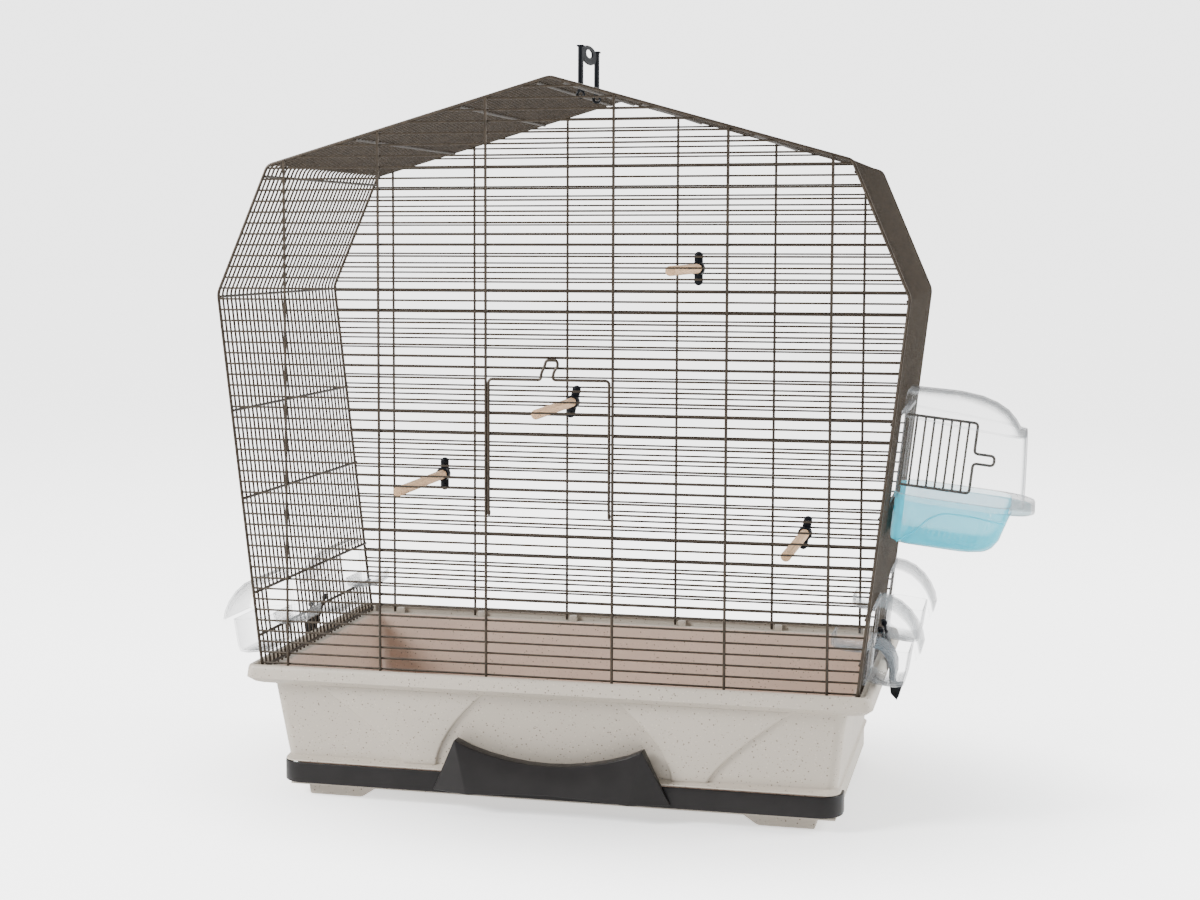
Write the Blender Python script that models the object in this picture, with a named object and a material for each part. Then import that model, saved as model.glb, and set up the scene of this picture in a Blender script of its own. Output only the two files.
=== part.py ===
"""Bird cage with a gabled wire top on a moulded base with a pull-out tray.

The wire top lifts off the base. It carries a drop-down front door, a side door, a bath with a clear hood,
four feeders, four perches, two base latches and a hanger. Sizes are in millimetres and are turned to metres
when a mesh is made. X is the cage's width, -Y its front and Z is up from the surface that it stands on.
"""

from math import atan2, cos, hypot, pi, sin

import bmesh
import bpy
from mathutils import Matrix, Vector

MM = 0.001
GAP = 0.3

# Overall plan: the bath and the left feeders set the width that the part is centred on.
CAGE_X = -56.1
RIM_Z = 150.0

# Wire top, as half widths and heights above RIM_Z.
FOOT_HALF = 331.4
ELBOW_HALF, ELBOW_UP = 379.6, 419.2
EAVE_HALF, EAVE_UP = 319.5, 560.0
RIDGE_UP = 651.0
PANEL_Y = 192.0
BAR = 2.4
EDGE_BAR = 3.2
CORNER_GAP = 1.2
SILL_UP = -5.4
ROW_START, ROW_STEP = 5.0, 36.0
COLUMNS = (70.0, 191.5, 300.0)
CROSS_WIRES_UP = (36.0, 84.0, 190.0, 288.5)
LONG_WIRE_STEP = 36.0
FEEDER_WINDOWS = ((-156.0, -72.0), (96.0, 180.0))
SIDE_DOOR_WINDOW = (-84.0, 0.0)

# Front door, hinged on its lower wire.
DOOR_HALF = 67.0
DOOR_SILL_UP, DOOR_HEAD_UP = 185.0, 341.0
DOOR_LOW_UP, DOOR_TOP_UP = 188.0, 329.0
LOOP_HALF, LOOP_TOP_UP = 9.0, 350.0

# Perches: x from the cage's middle, height above RIM_Z, and how far each holder is turned, in degrees.
PERCHES = ((97.7, 443.0, 0.0), (-60.3, 275.0, 14.0), (-230.0, 179.0, 0.0), (233.0, 119.0, 10.0))
DOWEL_R, DOWEL_LENGTH = 5.9, 195.0

# Base: half width, half depth, corner radius and height of each ring, up the outside and down the inside.
TUB_RINGS = (
    (308.0, 172.0, 12.0, 42.0),
    (320.0, 188.0, 12.0, 130.0),
    (341.5, 199.0, 12.0, 134.0),
    (348.5, 206.0, 12.0, 139.0),
    (346.5, 204.0, 10.0, 150.0),
    (343.5, 201.5, 7.0, 154.0),
    (339.5, 198.5, 5.0, 154.0),
    (338.5, 198.0, 4.5, 144.0),
    (325.5, 186.0, 7.0, 144.0),
    (320.5, 183.0, 14.0, 140.0),
    (304.0, 168.0, 14.0, 42.0),
)
PAN_HALF_X, PAN_FRONT_Y, PAN_REAR_Y = 309.0, -168.0, 172.0
PAN_LOW_Z, PAN_FLOOR_Z, PAN_TOP_Z = 11.0, 14.0, 41.7
FOOT_X, FOOT_Y = (225.0, 288.0), (122.0, 164.0)
TRAY_HALF_X, TRAY_FRONT_Y, TRAY_REAR_Y = 298.0, -160.0, 160.0
TRAY_LOW_Z, TRAY_TOP_Z, TRAY_WALL = 15.0, 38.0, 2.5
STRIP_HALF_X, STRIP_FRONT_Y, STRIP_BACK_Y = 315.5, -184.0, -146.0
STRIP_LOW_Z, STRIP_TOP_Z, STRIP_WALL, STRIP_R = 17.5, 41.0, 3.0, 26.0
HANDLE_FRONT_Y = -204.0
HANDLE_OUTLINE = (
    (-133.5, 21.0), (-90.0, 22.5), (-45.0, 26.5), (0.0, 28.0), (45.0, 26.5), (90.0, 22.5), (133.5, 21.0),
    (104.7, 82.0), (88.0, 74.0), (60.0, 65.0), (30.0, 60.5), (0.0, 59.0),
    (-30.0, 60.5), (-60.0, 65.0), (-88.0, 74.0), (-104.7, 82.0),
)

# Bath, in the right wall's own directions: out from the wall, and up along it from RIM_Z.
BATH_Y = (-118.0, 42.0)
BATH_DOORWAY = ((-6.0, 9.0), (188.0, 220.0), (-90.0, 9.0))
SIDE_DOOR_UP = (203.0, 288.0)
BATH_FLANGE = (204.0, 210.0)
BATH_REACH, BATH_END_R = 153.0, 30.0
BATH_BODY = ((5.0, 157.0), (106.0, 157.0), (118.0, 163.0), (124.0, 176.0), (129.0, 205.0), (5.0, 205.0))
BATH_WELL = ((8.0, 160.0), (105.0, 160.0), (115.0, 165.5), (121.0, 177.0), (127.0, 214.0), (8.0, 214.0))
HOOD_OUTLINE = (
    (4.0, 210.4), (140.0, 210.4), (134.5, 272.0), (123.0, 285.0), (110.0, 299.0), (93.0, 310.0),
    (70.0, 317.0), (40.0, 318.0), (4.0, 313.0),
)
HOOD_CAVITY = (
    (-4.0, 200.0), (137.6, 200.0), (132.0, 271.0), (121.0, 283.5), (108.4, 297.0), (92.0, 307.6),
    (69.6, 314.4), (40.0, 315.4), (-4.0, 310.0),
)

# Feeders, in each wall's own directions.
FEEDER_HALF = 44.0
CUP_OUTLINE = ((3.0, 17.0), (12.0, 11.5), (44.0, 9.5), (45.5, 50.0), (3.0, 50.0))
CUP_WELL = ((5.0, 19.0), (13.0, 13.7), (42.0, 11.8), (43.5, 60.0), (5.0, 60.0))
FEEDER_HOOD = (
    (3.0, 50.3), (53.0, 50.3), (57.3, 58.5), (50.0, 71.0), (40.0, 82.0), (28.0, 90.0), (15.0, 94.5), (3.0, 96.0),
)
FEEDER_HOOD_CAVITY = (
    (-4.0, 40.0), (50.8, 40.0), (54.8, 57.8), (48.3, 69.8), (38.8, 80.2), (27.2, 87.9), (14.6, 92.3), (-4.0, 94.0),
)
SCOOP_HALF = 36.0
SCOOP = ((-38.0, 45.0), (-34.0, 38.6), (2.6, 38.6), (2.6, 52.0), (-36.0, 52.0))
SCOOP_WELL = ((-35.4, 45.5), (-32.6, 40.6), (0.6, 40.6), (0.6, 62.0), (-34.0, 62.0))

# Latches, in x from the cage's middle and height above RIM_Z, and their length along the wall.
LATCH_Y = (-18.0, 54.0)
LATCH_OUTLINE = (
    (338.8, 44.0), (349.8, 5.0), (350.0, -18.0), (351.0, -23.4),
    (360.2, -45.5), (364.8, -43.4), (353.6, -18.0), (353.2, 6.0), (342.0, 44.0),
)

# Hanger, standing across the ridge.
RIDGE_WIRE_UP, RIDGE_WIRE_R = 642.5, 1.5
STRAP_Y, STRAP_HALF_X, STRAP_HALF_Y, STRAP_TOP_UP = 42.5, 1.6, 4.5, 696.0
CLIP_R, CLIP_BORE_R, CLIP_HALF = 5.4, 2.0, 4.8
RING_UP, RING_HALF_Y, RING_HALF_Z = 689.5, 37.5, 11.2
RING_HOLE_Y, RING_HOLE_Z, RING_HALF_X = 18.5, 6.0, 2.2

WALL_TILT = atan2(ELBOW_HALF - FOOT_HALF, ELBOW_UP)


def clear_scene():
    for item in list(bpy.data.objects):
        bpy.data.objects.remove(item)


def finish(name, colour, roughness, metallic=0.0, alpha=1.0):
    """A plain Principled material."""
    made = bpy.data.materials.new(name)
    made.use_nodes = True
    shader = made.node_tree.nodes["Principled BSDF"]
    shader.inputs["Base Color"].default_value = (*colour, 1.0)
    shader.inputs["Roughness"].default_value = roughness
    shader.inputs["Metallic"].default_value = metallic
    shader.inputs["Alpha"].default_value = alpha
    return made


def pivot(name, point):
    """An empty on a joint's axis, for the pieces that turn or slide there."""
    empty = bpy.data.objects.new(name, None)
    empty.location = Vector(point) * MM
    empty.empty_display_size = 0.02
    bpy.context.scene.collection.objects.link(empty)
    return empty


def place(name, mesh, material, parent=None):
    """Turns a bmesh in millimetres into an object in metres whose origin is its parent's."""
    offset = parent.location if parent else Vector((0.0, 0.0, 0.0))
    bmesh.ops.transform(mesh, matrix=Matrix.Translation(-offset) @ Matrix.Scale(MM, 4), verts=mesh.verts)
    bmesh.ops.recalc_face_normals(mesh, faces=mesh.faces)
    data = bpy.data.meshes.new(name)
    mesh.to_mesh(data)
    mesh.free()
    data.shade_smooth()
    data.set_sharp_from_angle(angle=0.6)
    made = bpy.data.objects.new(name, data)
    made.data.materials.append(material)
    made.parent = parent
    bpy.context.scene.collection.objects.link(made)
    return made


def combine(target, tool, operation):
    """Joins the tool to the target, or cuts it out, and removes the tool."""
    modifier = target.modifiers.new(operation, "BOOLEAN")
    modifier.operation = operation
    modifier.object = tool
    bpy.context.view_layer.update()
    result = bpy.data.meshes.new_from_object(target.evaluated_get(bpy.context.evaluated_depsgraph_get()))
    target.modifiers.clear()
    old, target.data = target.data, result
    bpy.data.meshes.remove(old)
    bpy.data.objects.remove(tool)
    return target


def prism(outline, place_point, low, high):
    """A closed outline of 2D points, carried from low to high along the third direction."""
    mesh = bmesh.new()
    ends = [[mesh.verts.new(place_point(a, b, depth)) for a, b in outline] for depth in (low, high)]
    mesh.faces.new(ends[0])
    mesh.faces.new(ends[1][::-1])
    count = len(outline)
    for i in range(count):
        j = (i + 1) % count
        mesh.faces.new((ends[0][i], ends[1][i], ends[1][j], ends[0][j]))
    return mesh


def block(low, high):
    mesh = bmesh.new()
    bmesh.ops.create_cube(mesh, size=1.0)
    size = [b - a for a, b in zip(low, high)]
    middle = [(a + b) / 2 for a, b in zip(low, high)]
    bmesh.ops.scale(mesh, vec=size, verts=mesh.verts)
    bmesh.ops.translate(mesh, vec=middle, verts=mesh.verts)
    return mesh


def rod(radius, start, end, sides=16):
    """A round bar between two points."""
    start, end = Vector(start), Vector(end)
    along = end - start
    mesh = bmesh.new()
    turn = Vector((0.0, 0.0, 1.0)).rotation_difference(along).to_matrix().to_4x4()
    where = Matrix.Translation((start + end) / 2) @ turn
    bmesh.ops.create_cone(
        mesh, cap_ends=True, segments=sides, radius1=radius, radius2=radius, depth=along.length, matrix=where
    )
    return mesh


def oval(half_a, half_b, middle, sides):
    turns = [2 * pi * i / sides for i in range(sides)]
    return [(middle[0] + half_a * cos(t), middle[1] + half_b * sin(t)) for t in turns]


def round_ended(half_width, half_length, steps=6):
    """The outline of a bar with round ends, upright about the origin."""
    points = []
    for side in (1, -1):
        for i in range(steps + 1):
            turn = pi * i / steps + (0.0 if side > 0 else pi)
            points.append((half_width * cos(turn), side * (half_length - half_width) + half_width * sin(turn)))
    return points


def rounded_ring(half_x, half_y, radius, z, steps=4):
    points = []
    for corner, (sx, sy) in enumerate(((1, 1), (-1, 1), (-1, -1), (1, -1))):
        for i in range(steps + 1):
            turn = pi / 2 * (corner + i / steps)
            x = sx * (half_x - radius) + radius * cos(turn)
            y = sy * (half_y - radius) + radius * sin(turn)
            points.append(Vector((CAGE_X + x, y, z)))
    return points


def clip(outline, keep):
    """The part of a convex outline on the positive side of a line, given as (normal, offset)."""
    (nx, ny), offset = keep
    kept = []
    for i, (ax, ay) in enumerate(outline):
        bx, by = outline[(i + 1) % len(outline)]
        here, there = nx * ax + ny * ay - offset, nx * bx + ny * by - offset
        if here >= 0:
            kept.append((ax, ay))
        if here * there < 0:
            share = here / (here - there)
            kept.append((ax + share * (bx - ax), ay + share * (by - ay)))
    return kept


def edges_inside(outline, margin):
    """The lines of a convex anticlockwise outline, moved inwards by a margin."""
    lines = []
    for i, (ax, ay) in enumerate(outline):
        bx, by = outline[(i + 1) % len(outline)]
        length = hypot(bx - ax, by - ay)
        normal = ((ay - by) / length, (bx - ax) / length)
        lines.append((normal, normal[0] * ax + normal[1] * ay + margin))
    return lines


def area(outline):
    return sum(
        a[0] * b[1] - b[0] * a[1] for a, b in zip(outline, outline[1:] + outline[:1])
    ) / 2


def grille(outline, rows, place_point, thickness=BAR):
    """A flat welded grille: a convex outline with one hole in each cell of its rows.

    Each row is (low, high, bars), where the bars cross the row at those places.
    """
    border = edges_inside(outline, EDGE_BAR)
    widest = max(abs(a) for a, b in outline) + 1
    holes = []
    for low, high, bars in rows:
        stops = [-widest, *sorted(bars), widest]
        for left, right in zip(stops, stops[1:]):
            a, b = left + BAR / 2, right - BAR / 2
            hole = [(a, low + BAR / 2), (b, low + BAR / 2), (b, high - BAR / 2), (a, high - BAR / 2)]
            for line in border:
                hole = clip(hole, line)
            if len(hole) > 2 and area(hole) > 40:
                holes.append(hole)
    return prism(outline, place_point, -thickness / 2, thickness / 2), joined_prisms(holes, place_point, thickness)


def joined_prisms(outlines, place_point, reach):
    """One mesh that holds a prism for each outline, standing through a plate."""
    mesh = bmesh.new()
    for outline in outlines:
        part = prism(outline, place_point, -reach, reach)
        bmesh.ops.recalc_face_normals(part, faces=part.faces)
        carried = bpy.data.meshes.new("carried")
        part.to_mesh(carried)
        part.free()
        mesh.from_mesh(carried)
        bpy.data.meshes.remove(carried)
    return mesh


def place_grille(name, plate_and_holes, material, parent):
    plate, holes = plate_and_holes
    made = place(name, plate, material, parent)
    return combine(made, place("holes", holes, material, parent), "DIFFERENCE")


def half_width(up):
    """Half the wire top's width at a height above RIM_Z."""
    stops = ((SILL_UP, None), (ELBOW_UP, ELBOW_HALF), (EAVE_UP, EAVE_HALF), (RIDGE_UP, 0.0))
    if up <= ELBOW_UP:
        return FOOT_HALF + (ELBOW_HALF - FOOT_HALF) * up / ELBOW_UP
    for (low, start), (high, end) in zip(stops[1:], stops[2:]):
        if up <= high:
            return start + (end - start) * (up - low) / (high - low)
    return 0.0


def on_end(y):
    """Places a point of an end grille: x from the cage's middle, height above RIM_Z, and depth."""
    return lambda a, b, depth: Vector((CAGE_X + a, y + depth, RIM_Z + b))


def on_slope(side, start, end):
    """Places a point of a side grille that climbs from one (half width, height) to the next."""
    length = hypot(end[0] - start[0], end[1] - start[1])
    along = ((end[0] - start[0]) / length, (end[1] - start[1]) / length)
    out = (along[1], -along[0])

    def put(y, up, depth):
        x = start[0] + along[0] * up + out[0] * depth
        z = start[1] + along[1] * up + out[1] * depth
        return Vector((CAGE_X + side * x, y, RIM_Z + z))

    return put, length


def on_wall(side):
    """Places a point by how far it is out from the lower wall, how far up along it, and its y."""
    along = (sin(WALL_TILT), cos(WALL_TILT))
    out = (cos(WALL_TILT), -sin(WALL_TILT))

    def put(away, up, y):
        x = FOOT_HALF + along[0] * up + out[0] * away
        z = along[1] * up + out[1] * away
        return Vector((CAGE_X + side * x, y, RIM_Z + z))

    return put


def steps_between(low, high, step):
    count = int((high - low) // step) + 1
    return [low + step * i for i in range(count)]


def end_rows(low, high, bars):
    """Rows of an end grille between two heights, split at the shared horizontal wires."""
    wires = [z for z in steps_between(ROW_START, RIDGE_UP, ROW_STEP) if low + 1 < z < high - 1]
    stops = [low - BAR / 2, *wires, high + BAR / 2]
    return [(a, b, bars) for a, b in zip(stops, stops[1:])]


def gable(left, right, low, high):
    """The gabled outline between two x values and two heights, anticlockwise from its lower left."""
    ups = [up for up in (ELBOW_UP, EAVE_UP, RIDGE_UP) if low < up < high]
    side = [low, *ups, high]
    outer = [(half_width(up), up) for up in side]
    whole = [*outer, *[(-x, up) for x, up in outer[::-1] if x > 0]]
    for line in (((1.0, 0.0), left), ((-1.0, 0.0), -right)):
        whole = clip(whole, line)
    return whole


def make_ends(metal, top):
    bars = sorted([*COLUMNS, *[-x for x in COLUMNS]])
    widest = ELBOW_HALF + 1
    inner = COLUMNS[0] - BAR / 2
    pieces = {
        "rear_grille": (PANEL_Y, -widest, widest, SILL_UP, RIDGE_UP),
        "front_grille_left": (-PANEL_Y, -widest, -inner, SILL_UP, RIDGE_UP),
        "front_grille_right": (-PANEL_Y, inner, widest, SILL_UP, RIDGE_UP),
        "front_grille_below_door": (-PANEL_Y, GAP - inner, inner - GAP, SILL_UP, DOOR_SILL_UP + BAR / 2),
        "front_grille_above_door": (-PANEL_Y, GAP - inner, inner - GAP, DOOR_HEAD_UP - BAR / 2, RIDGE_UP),
    }
    for name, (y, left, right, low, high) in pieces.items():
        outline = gable(left, right, low, high)
        crossing = [x for x in bars if left + EDGE_BAR < x < right - EDGE_BAR]
        place_grille(name, grille(outline, end_rows(low, high, crossing), on_end(y)), metal, top)


def make_slopes(metal, top):
    """The lower wall, the upper wall and the roof of each side."""
    long_wires = steps_between(-156.0, PANEL_Y, LONG_WIRE_STEP)
    feeders = [edge for window in FEEDER_WINDOWS for edge in window]
    at_feeders = [*feeders, -36.0, 60.0]
    at_door = [-156.0, -120.0, *SIDE_DOOR_WINDOW, 36.0, 72.0, 108.0, 144.0]
    half = PANEL_Y - BAR / 2 - GAP
    wall = (FOOT_HALF + SILL_UP * (ELBOW_HALF - FOOT_HALF) / ELBOW_UP, SILL_UP)
    elbow, eave, ridge = (ELBOW_HALF, ELBOW_UP), (EAVE_HALF, EAVE_UP), (0.0, RIDGE_UP)
    for side, word in ((-1, "left"), (1, "right")):
        climb = cos(WALL_TILT)
        ups = [(up - SILL_UP) / climb for up in (*CROSS_WIRES_UP, ELBOW_UP)]
        bars = [long_wires, at_feeders, long_wires, at_door if side > 0 else long_wires, long_wires]
        lower = [(a, b, row) for a, b, row in zip([-BAR, *ups], ups, bars)]
        pieces = {
            "wall": (wall, elbow, lower, 0.0, CORNER_GAP),
            "shoulder": (elbow, eave, None, CORNER_GAP, CORNER_GAP),
            "roof": (eave, ridge, None, CORNER_GAP, STRAP_HALF_X + CORNER_GAP),
        }
        for part, (start, end, rows, back_low, back_high) in pieces.items():
            put, length = on_slope(side, start, end)
            outline = [(-half, back_low), (half, back_low), (half, length - back_high), (-half, length - back_high)]
            if rows is None:
                split = {"shoulder": 2, "roof": 3}[part]
                stops = [length * i / split for i in range(split + 1)]
                rows = [(a, b, long_wires) for a, b in zip(stops, stops[1:])]
            place_grille(f"{part}_grille_{word}", grille(outline, rows, put), metal, top)


def make_front_door(metal):
    hinge = pivot("front_door_axis", (CAGE_X, -PANEL_Y, RIM_Z + DOOR_SILL_UP))
    outline = [
        (-DOOR_HALF, DOOR_LOW_UP), (DOOR_HALF, DOOR_LOW_UP), (DOOR_HALF, DOOR_TOP_UP), (-DOOR_HALF, DOOR_TOP_UP),
    ]
    rows = [(low, low + ROW_STEP, []) for low in steps_between(DOOR_SILL_UP, DOOR_TOP_UP - ROW_STEP, ROW_STEP)]
    put = on_end(-PANEL_Y)
    door = place_grille("front_door", grille(outline, rows, put), metal, hinge)
    loop = [
        (-LOOP_HALF, 325.0), (-LOOP_HALF, LOOP_TOP_UP), (LOOP_HALF, LOOP_TOP_UP), (LOOP_HALF, 325.0),
        (LOOP_HALF - BAR, 325.0), (LOOP_HALF - BAR, LOOP_TOP_UP - BAR),
        (BAR - LOOP_HALF, LOOP_TOP_UP - BAR), (BAR - LOOP_HALF, 325.0),
    ]
    front = -BAR / 2 - GAP - BAR
    foot = place("loop_foot", block(
        (CAGE_X - LOOP_HALF, -PANEL_Y + front, RIM_Z + 324.0),
        (CAGE_X + LOOP_HALF, -PANEL_Y + BAR / 3, RIM_Z + 328.5),
    ), metal, hinge)
    combine(door, foot, "UNION")
    combine(door, place("loop", prism(loop, put, front, front + BAR), metal, hinge), "UNION")


def make_side_door(metal):
    """The door at rest stands straight out from the right wall, inside the bath's hood."""
    put = on_wall(1)
    low, high = SIDE_DOOR_UP
    reach = SIDE_DOOR_WINDOW[1] - SIDE_DOOR_WINDOW[0] - 2
    hinge = pivot("side_door_axis", put(0.0, (low + high) / 2, SIDE_DOOR_WINDOW[1]))

    def stand_out(away, up, depth):
        return put(away, up, SIDE_DOOR_WINDOW[1] + depth)

    outline = [(3.0, low), (reach, low), (reach, high), (3.0, high)]
    middle = (low + high) / 2
    rows = [(low, middle, [27.0, 54.0]), (middle, high, [27.0, 54.0])]
    door = place_grille("side_door", grille(outline, rows, stand_out), metal, hinge)
    loop = [
        (reach - 2, middle - 6), (reach + 22, middle - 6), (reach + 22, middle + 6), (reach - 2, middle + 6),
        (reach - 2, middle + 6 - BAR), (reach + 22 - BAR, middle + 6 - BAR),
        (reach + 22 - BAR, middle - 6 + BAR), (reach - 2, middle - 6 + BAR),
    ]
    combine(door, place("side_loop", prism(loop, stand_out, -BAR / 2, BAR / 2), metal, hinge), "UNION")


def make_perches(wood, black):
    plate = round_ended(5.2, 21.0)
    bar = round_ended(4.4, 17.0)
    front = PANEL_Y - BAR / 2 - GAP - 5.0
    for number, (x, up, turned) in enumerate(PERCHES, 1):
        x, z = CAGE_X + x, RIM_Z + up
        hinge = pivot(f"perch_axis_{number}", (x, front, z))
        angle = turned * pi / 180

        def put(a, b, y):
            return Vector((x + a * cos(angle) + b * sin(angle), y, z - a * sin(angle) + b * cos(angle)))

        name = f"perch_holder_{number}"
        holder = place(name, prism(plate, put, front, front + 5.0), black, hinge)
        back = PANEL_Y + BAR / 2 + GAP
        neck = rod(3.8, (x, front + 2, z), (x, back + 2, z), 12)
        combine(holder, place("neck", neck, black, hinge), "UNION")
        combine(holder, place("lock_bar", prism(bar, put, back, back + 3.5), black, hinge), "UNION")
        combine(holder, place("cup", rod(9.0, (x, front - 10, z), (x, front + 2, z), 20), black, hinge), "UNION")
        bore = rod(DOWEL_R + GAP, (x, front - 12, z), (x, front, z), 20)
        combine(holder, place("bore", bore, black, hinge), "DIFFERENCE")
        dowel = rod(DOWEL_R, (x, front - GAP - DOWEL_LENGTH, z), (x, front - GAP, z), 20)
        place(f"perch_dowel_{number}", dowel, wood, hinge)


def make_base(shell, dark):
    mesh = bmesh.new()
    rings = [[mesh.verts.new(point) for point in rounded_ring(*ring)] for ring in TUB_RINGS]
    for lower, upper in zip(rings, rings[1:] + rings[:1]):
        count = len(lower)
        for i in range(count):
            j = (i + 1) % count
            mesh.faces.new((lower[i], lower[j], upper[j], upper[i]))
    place("tub", mesh, shell)

    low, high = (CAGE_X - PAN_HALF_X, PAN_FRONT_Y, PAN_LOW_Z), (CAGE_X + PAN_HALF_X, PAN_REAR_Y, PAN_TOP_Z)
    pan = place("base_pan", block(low, high), shell)
    room = block((low[0] + 7, low[1] - 10, PAN_FLOOR_Z), (high[0] - 7, high[1] - 7, high[2] + 10))
    combine(pan, place("room", room, shell), "DIFFERENCE")
    notch = block((low[0] - 10, low[1] - 10, PAN_FLOOR_Z), (high[0] + 10, STRIP_BACK_Y + 2, high[2] + 10))
    combine(pan, place("notch", notch, shell), "DIFFERENCE")
    for sx in (-1, 1):
        for sy in (-1, 1):
            xs = sorted(CAGE_X + sx * x for x in FOOT_X)
            ys = sorted(sy * y for y in FOOT_Y)
            foot = block((xs[0], ys[0], 0.0), (xs[1], ys[1], PAN_LOW_Z + 1))
            for corner in foot.verts:
                if corner.co.z > 1:
                    corner.co.x -= (CAGE_X + sx * FOOT_X[0] - corner.co.x) * 0.08
            combine(pan, place("foot", foot, shell), "UNION")

    slide = pivot("drawer_axis", (CAGE_X, STRIP_FRONT_Y, TRAY_LOW_Z))
    low = (CAGE_X - TRAY_HALF_X, TRAY_FRONT_Y, TRAY_LOW_Z)
    high = (CAGE_X + TRAY_HALF_X, TRAY_REAR_Y, TRAY_TOP_Z)
    tray = place("drawer_tray", block(low, high), dark, slide)
    well = block([a + TRAY_WALL for a in low], [high[0] - TRAY_WALL, high[1] - TRAY_WALL, high[2] + 10])
    combine(tray, place("well", well, dark, slide), "DIFFERENCE")

    strip = prism(strip_outline(), lambda a, b, z: Vector((CAGE_X + a, b, z)), STRIP_LOW_Z, STRIP_TOP_Z)
    place("drawer_front", strip, dark, slide)
    handle = prism(
        HANDLE_OUTLINE, lambda a, b, y: Vector((CAGE_X + a, y, b)), HANDLE_FRONT_Y, STRIP_FRONT_Y - GAP
    )
    place("drawer_handle", handle, dark, slide)


def strip_outline(steps=5):
    """The U-shaped plan of the drawer's front strip, which wraps both corners."""
    outer, inner = [], []
    for side in (-1, 1):
        for i in range(steps + 1):
            turn = pi / 2 * (i / steps if side < 0 else 1 - i / steps)
            for points, radius in ((outer, STRIP_R), (inner, STRIP_R - STRIP_WALL)):
                x = side * (STRIP_HALF_X - STRIP_R + radius * cos(turn))
                points.append((x, STRIP_FRONT_Y + STRIP_R - radius * sin(turn)))
    ends = [(STRIP_HALF_X, STRIP_BACK_Y), (STRIP_HALF_X - STRIP_WALL, STRIP_BACK_Y)]
    return [*outer, *ends, *inner[::-1], (STRIP_WALL - STRIP_HALF_X, STRIP_BACK_Y), (-STRIP_HALF_X, STRIP_BACK_Y)]


def make_bath(blue, clear):
    put = on_wall(1)
    front, rear = BATH_Y
    slide = pivot("bath_axis", put(3.0, BATH_FLANGE[0], (front + rear) / 2))
    tub = place("bath_tub", prism(BATH_BODY, put, front + 6, rear - 5), blue, slide)
    steps = 5
    end = [(BATH_REACH - BATH_END_R + BATH_END_R * sin(pi / 2 * i / steps),
            front + BATH_END_R - BATH_END_R * cos(pi / 2 * i / steps)) for i in range(steps + 1)]
    far = [(away, front + rear - y) for away, y in end[::-1]]
    plan = [(3.0, front), *end, *far, (3.0, rear)]
    flange = prism(plan, lambda away, y, up: put(away, up, y), *BATH_FLANGE)
    combine(tub, place("flange", flange, blue, slide), "UNION")
    combine(tub, place("bath_well", prism(BATH_WELL, put, front + 9, rear - 8), blue, slide), "DIFFERENCE")
    (near, deep), (low, high), (first, last) = BATH_DOORWAY
    notch = prism([(near, low), (deep, low), (deep, high), (near, high)], put, first, last)
    combine(tub, place("bath_doorway", notch, blue, slide), "DIFFERENCE")
    hood = place("bath_hood", prism(HOOD_OUTLINE, put, front + 3, rear - 2), clear, slide)
    cavity = prism(HOOD_CAVITY, put, front + 5.5, rear - 4.5)
    combine(hood, place("hood_cavity", cavity, clear, slide), "DIFFERENCE")


def make_feeders(clear):
    for side, word in ((-1, "left"), (1, "right")):
        put = on_wall(side)
        for (near, far), end in zip(FEEDER_WINDOWS, ("front", "rear")):
            middle = (near + far) / 2
            slide = pivot(f"feeder_axis_{word}_{end}", put(3.0, 50.0, middle))
            shells = {
                "feeder_cup": (CUP_OUTLINE, CUP_WELL, FEEDER_HALF, 2.0),
                "feeder_hood": (FEEDER_HOOD, FEEDER_HOOD_CAVITY, FEEDER_HALF, 2.0),
                "feeder_scoop": (SCOOP, SCOOP_WELL, SCOOP_HALF, 2.0),
            }
            for name, (outline, hollow, half, wall) in shells.items():
                solid = prism(outline, put, middle - half, middle + half)
                made = place(f"{name}_{word}_{end}", solid, clear, slide)
                inside = prism(hollow, put, middle - half + wall, middle + half - wall)
                combine(made, place("hollow", inside, clear, slide), "DIFFERENCE")


def make_latches(black):
    for side, word in ((-1, "left"), (1, "right")):
        axis = Vector((CAGE_X + side * half_width(CROSS_WIRES_UP[0]), sum(LATCH_Y) / 2, RIM_Z + CROSS_WIRES_UP[0]))
        hinge = pivot(f"latch_axis_{word}", axis)
        body = prism(LATCH_OUTLINE, lambda a, b, y: Vector((CAGE_X + side * a, y, RIM_Z + b)), *LATCH_Y)
        place(f"base_latch_{word}", body, black, hinge)


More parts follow.
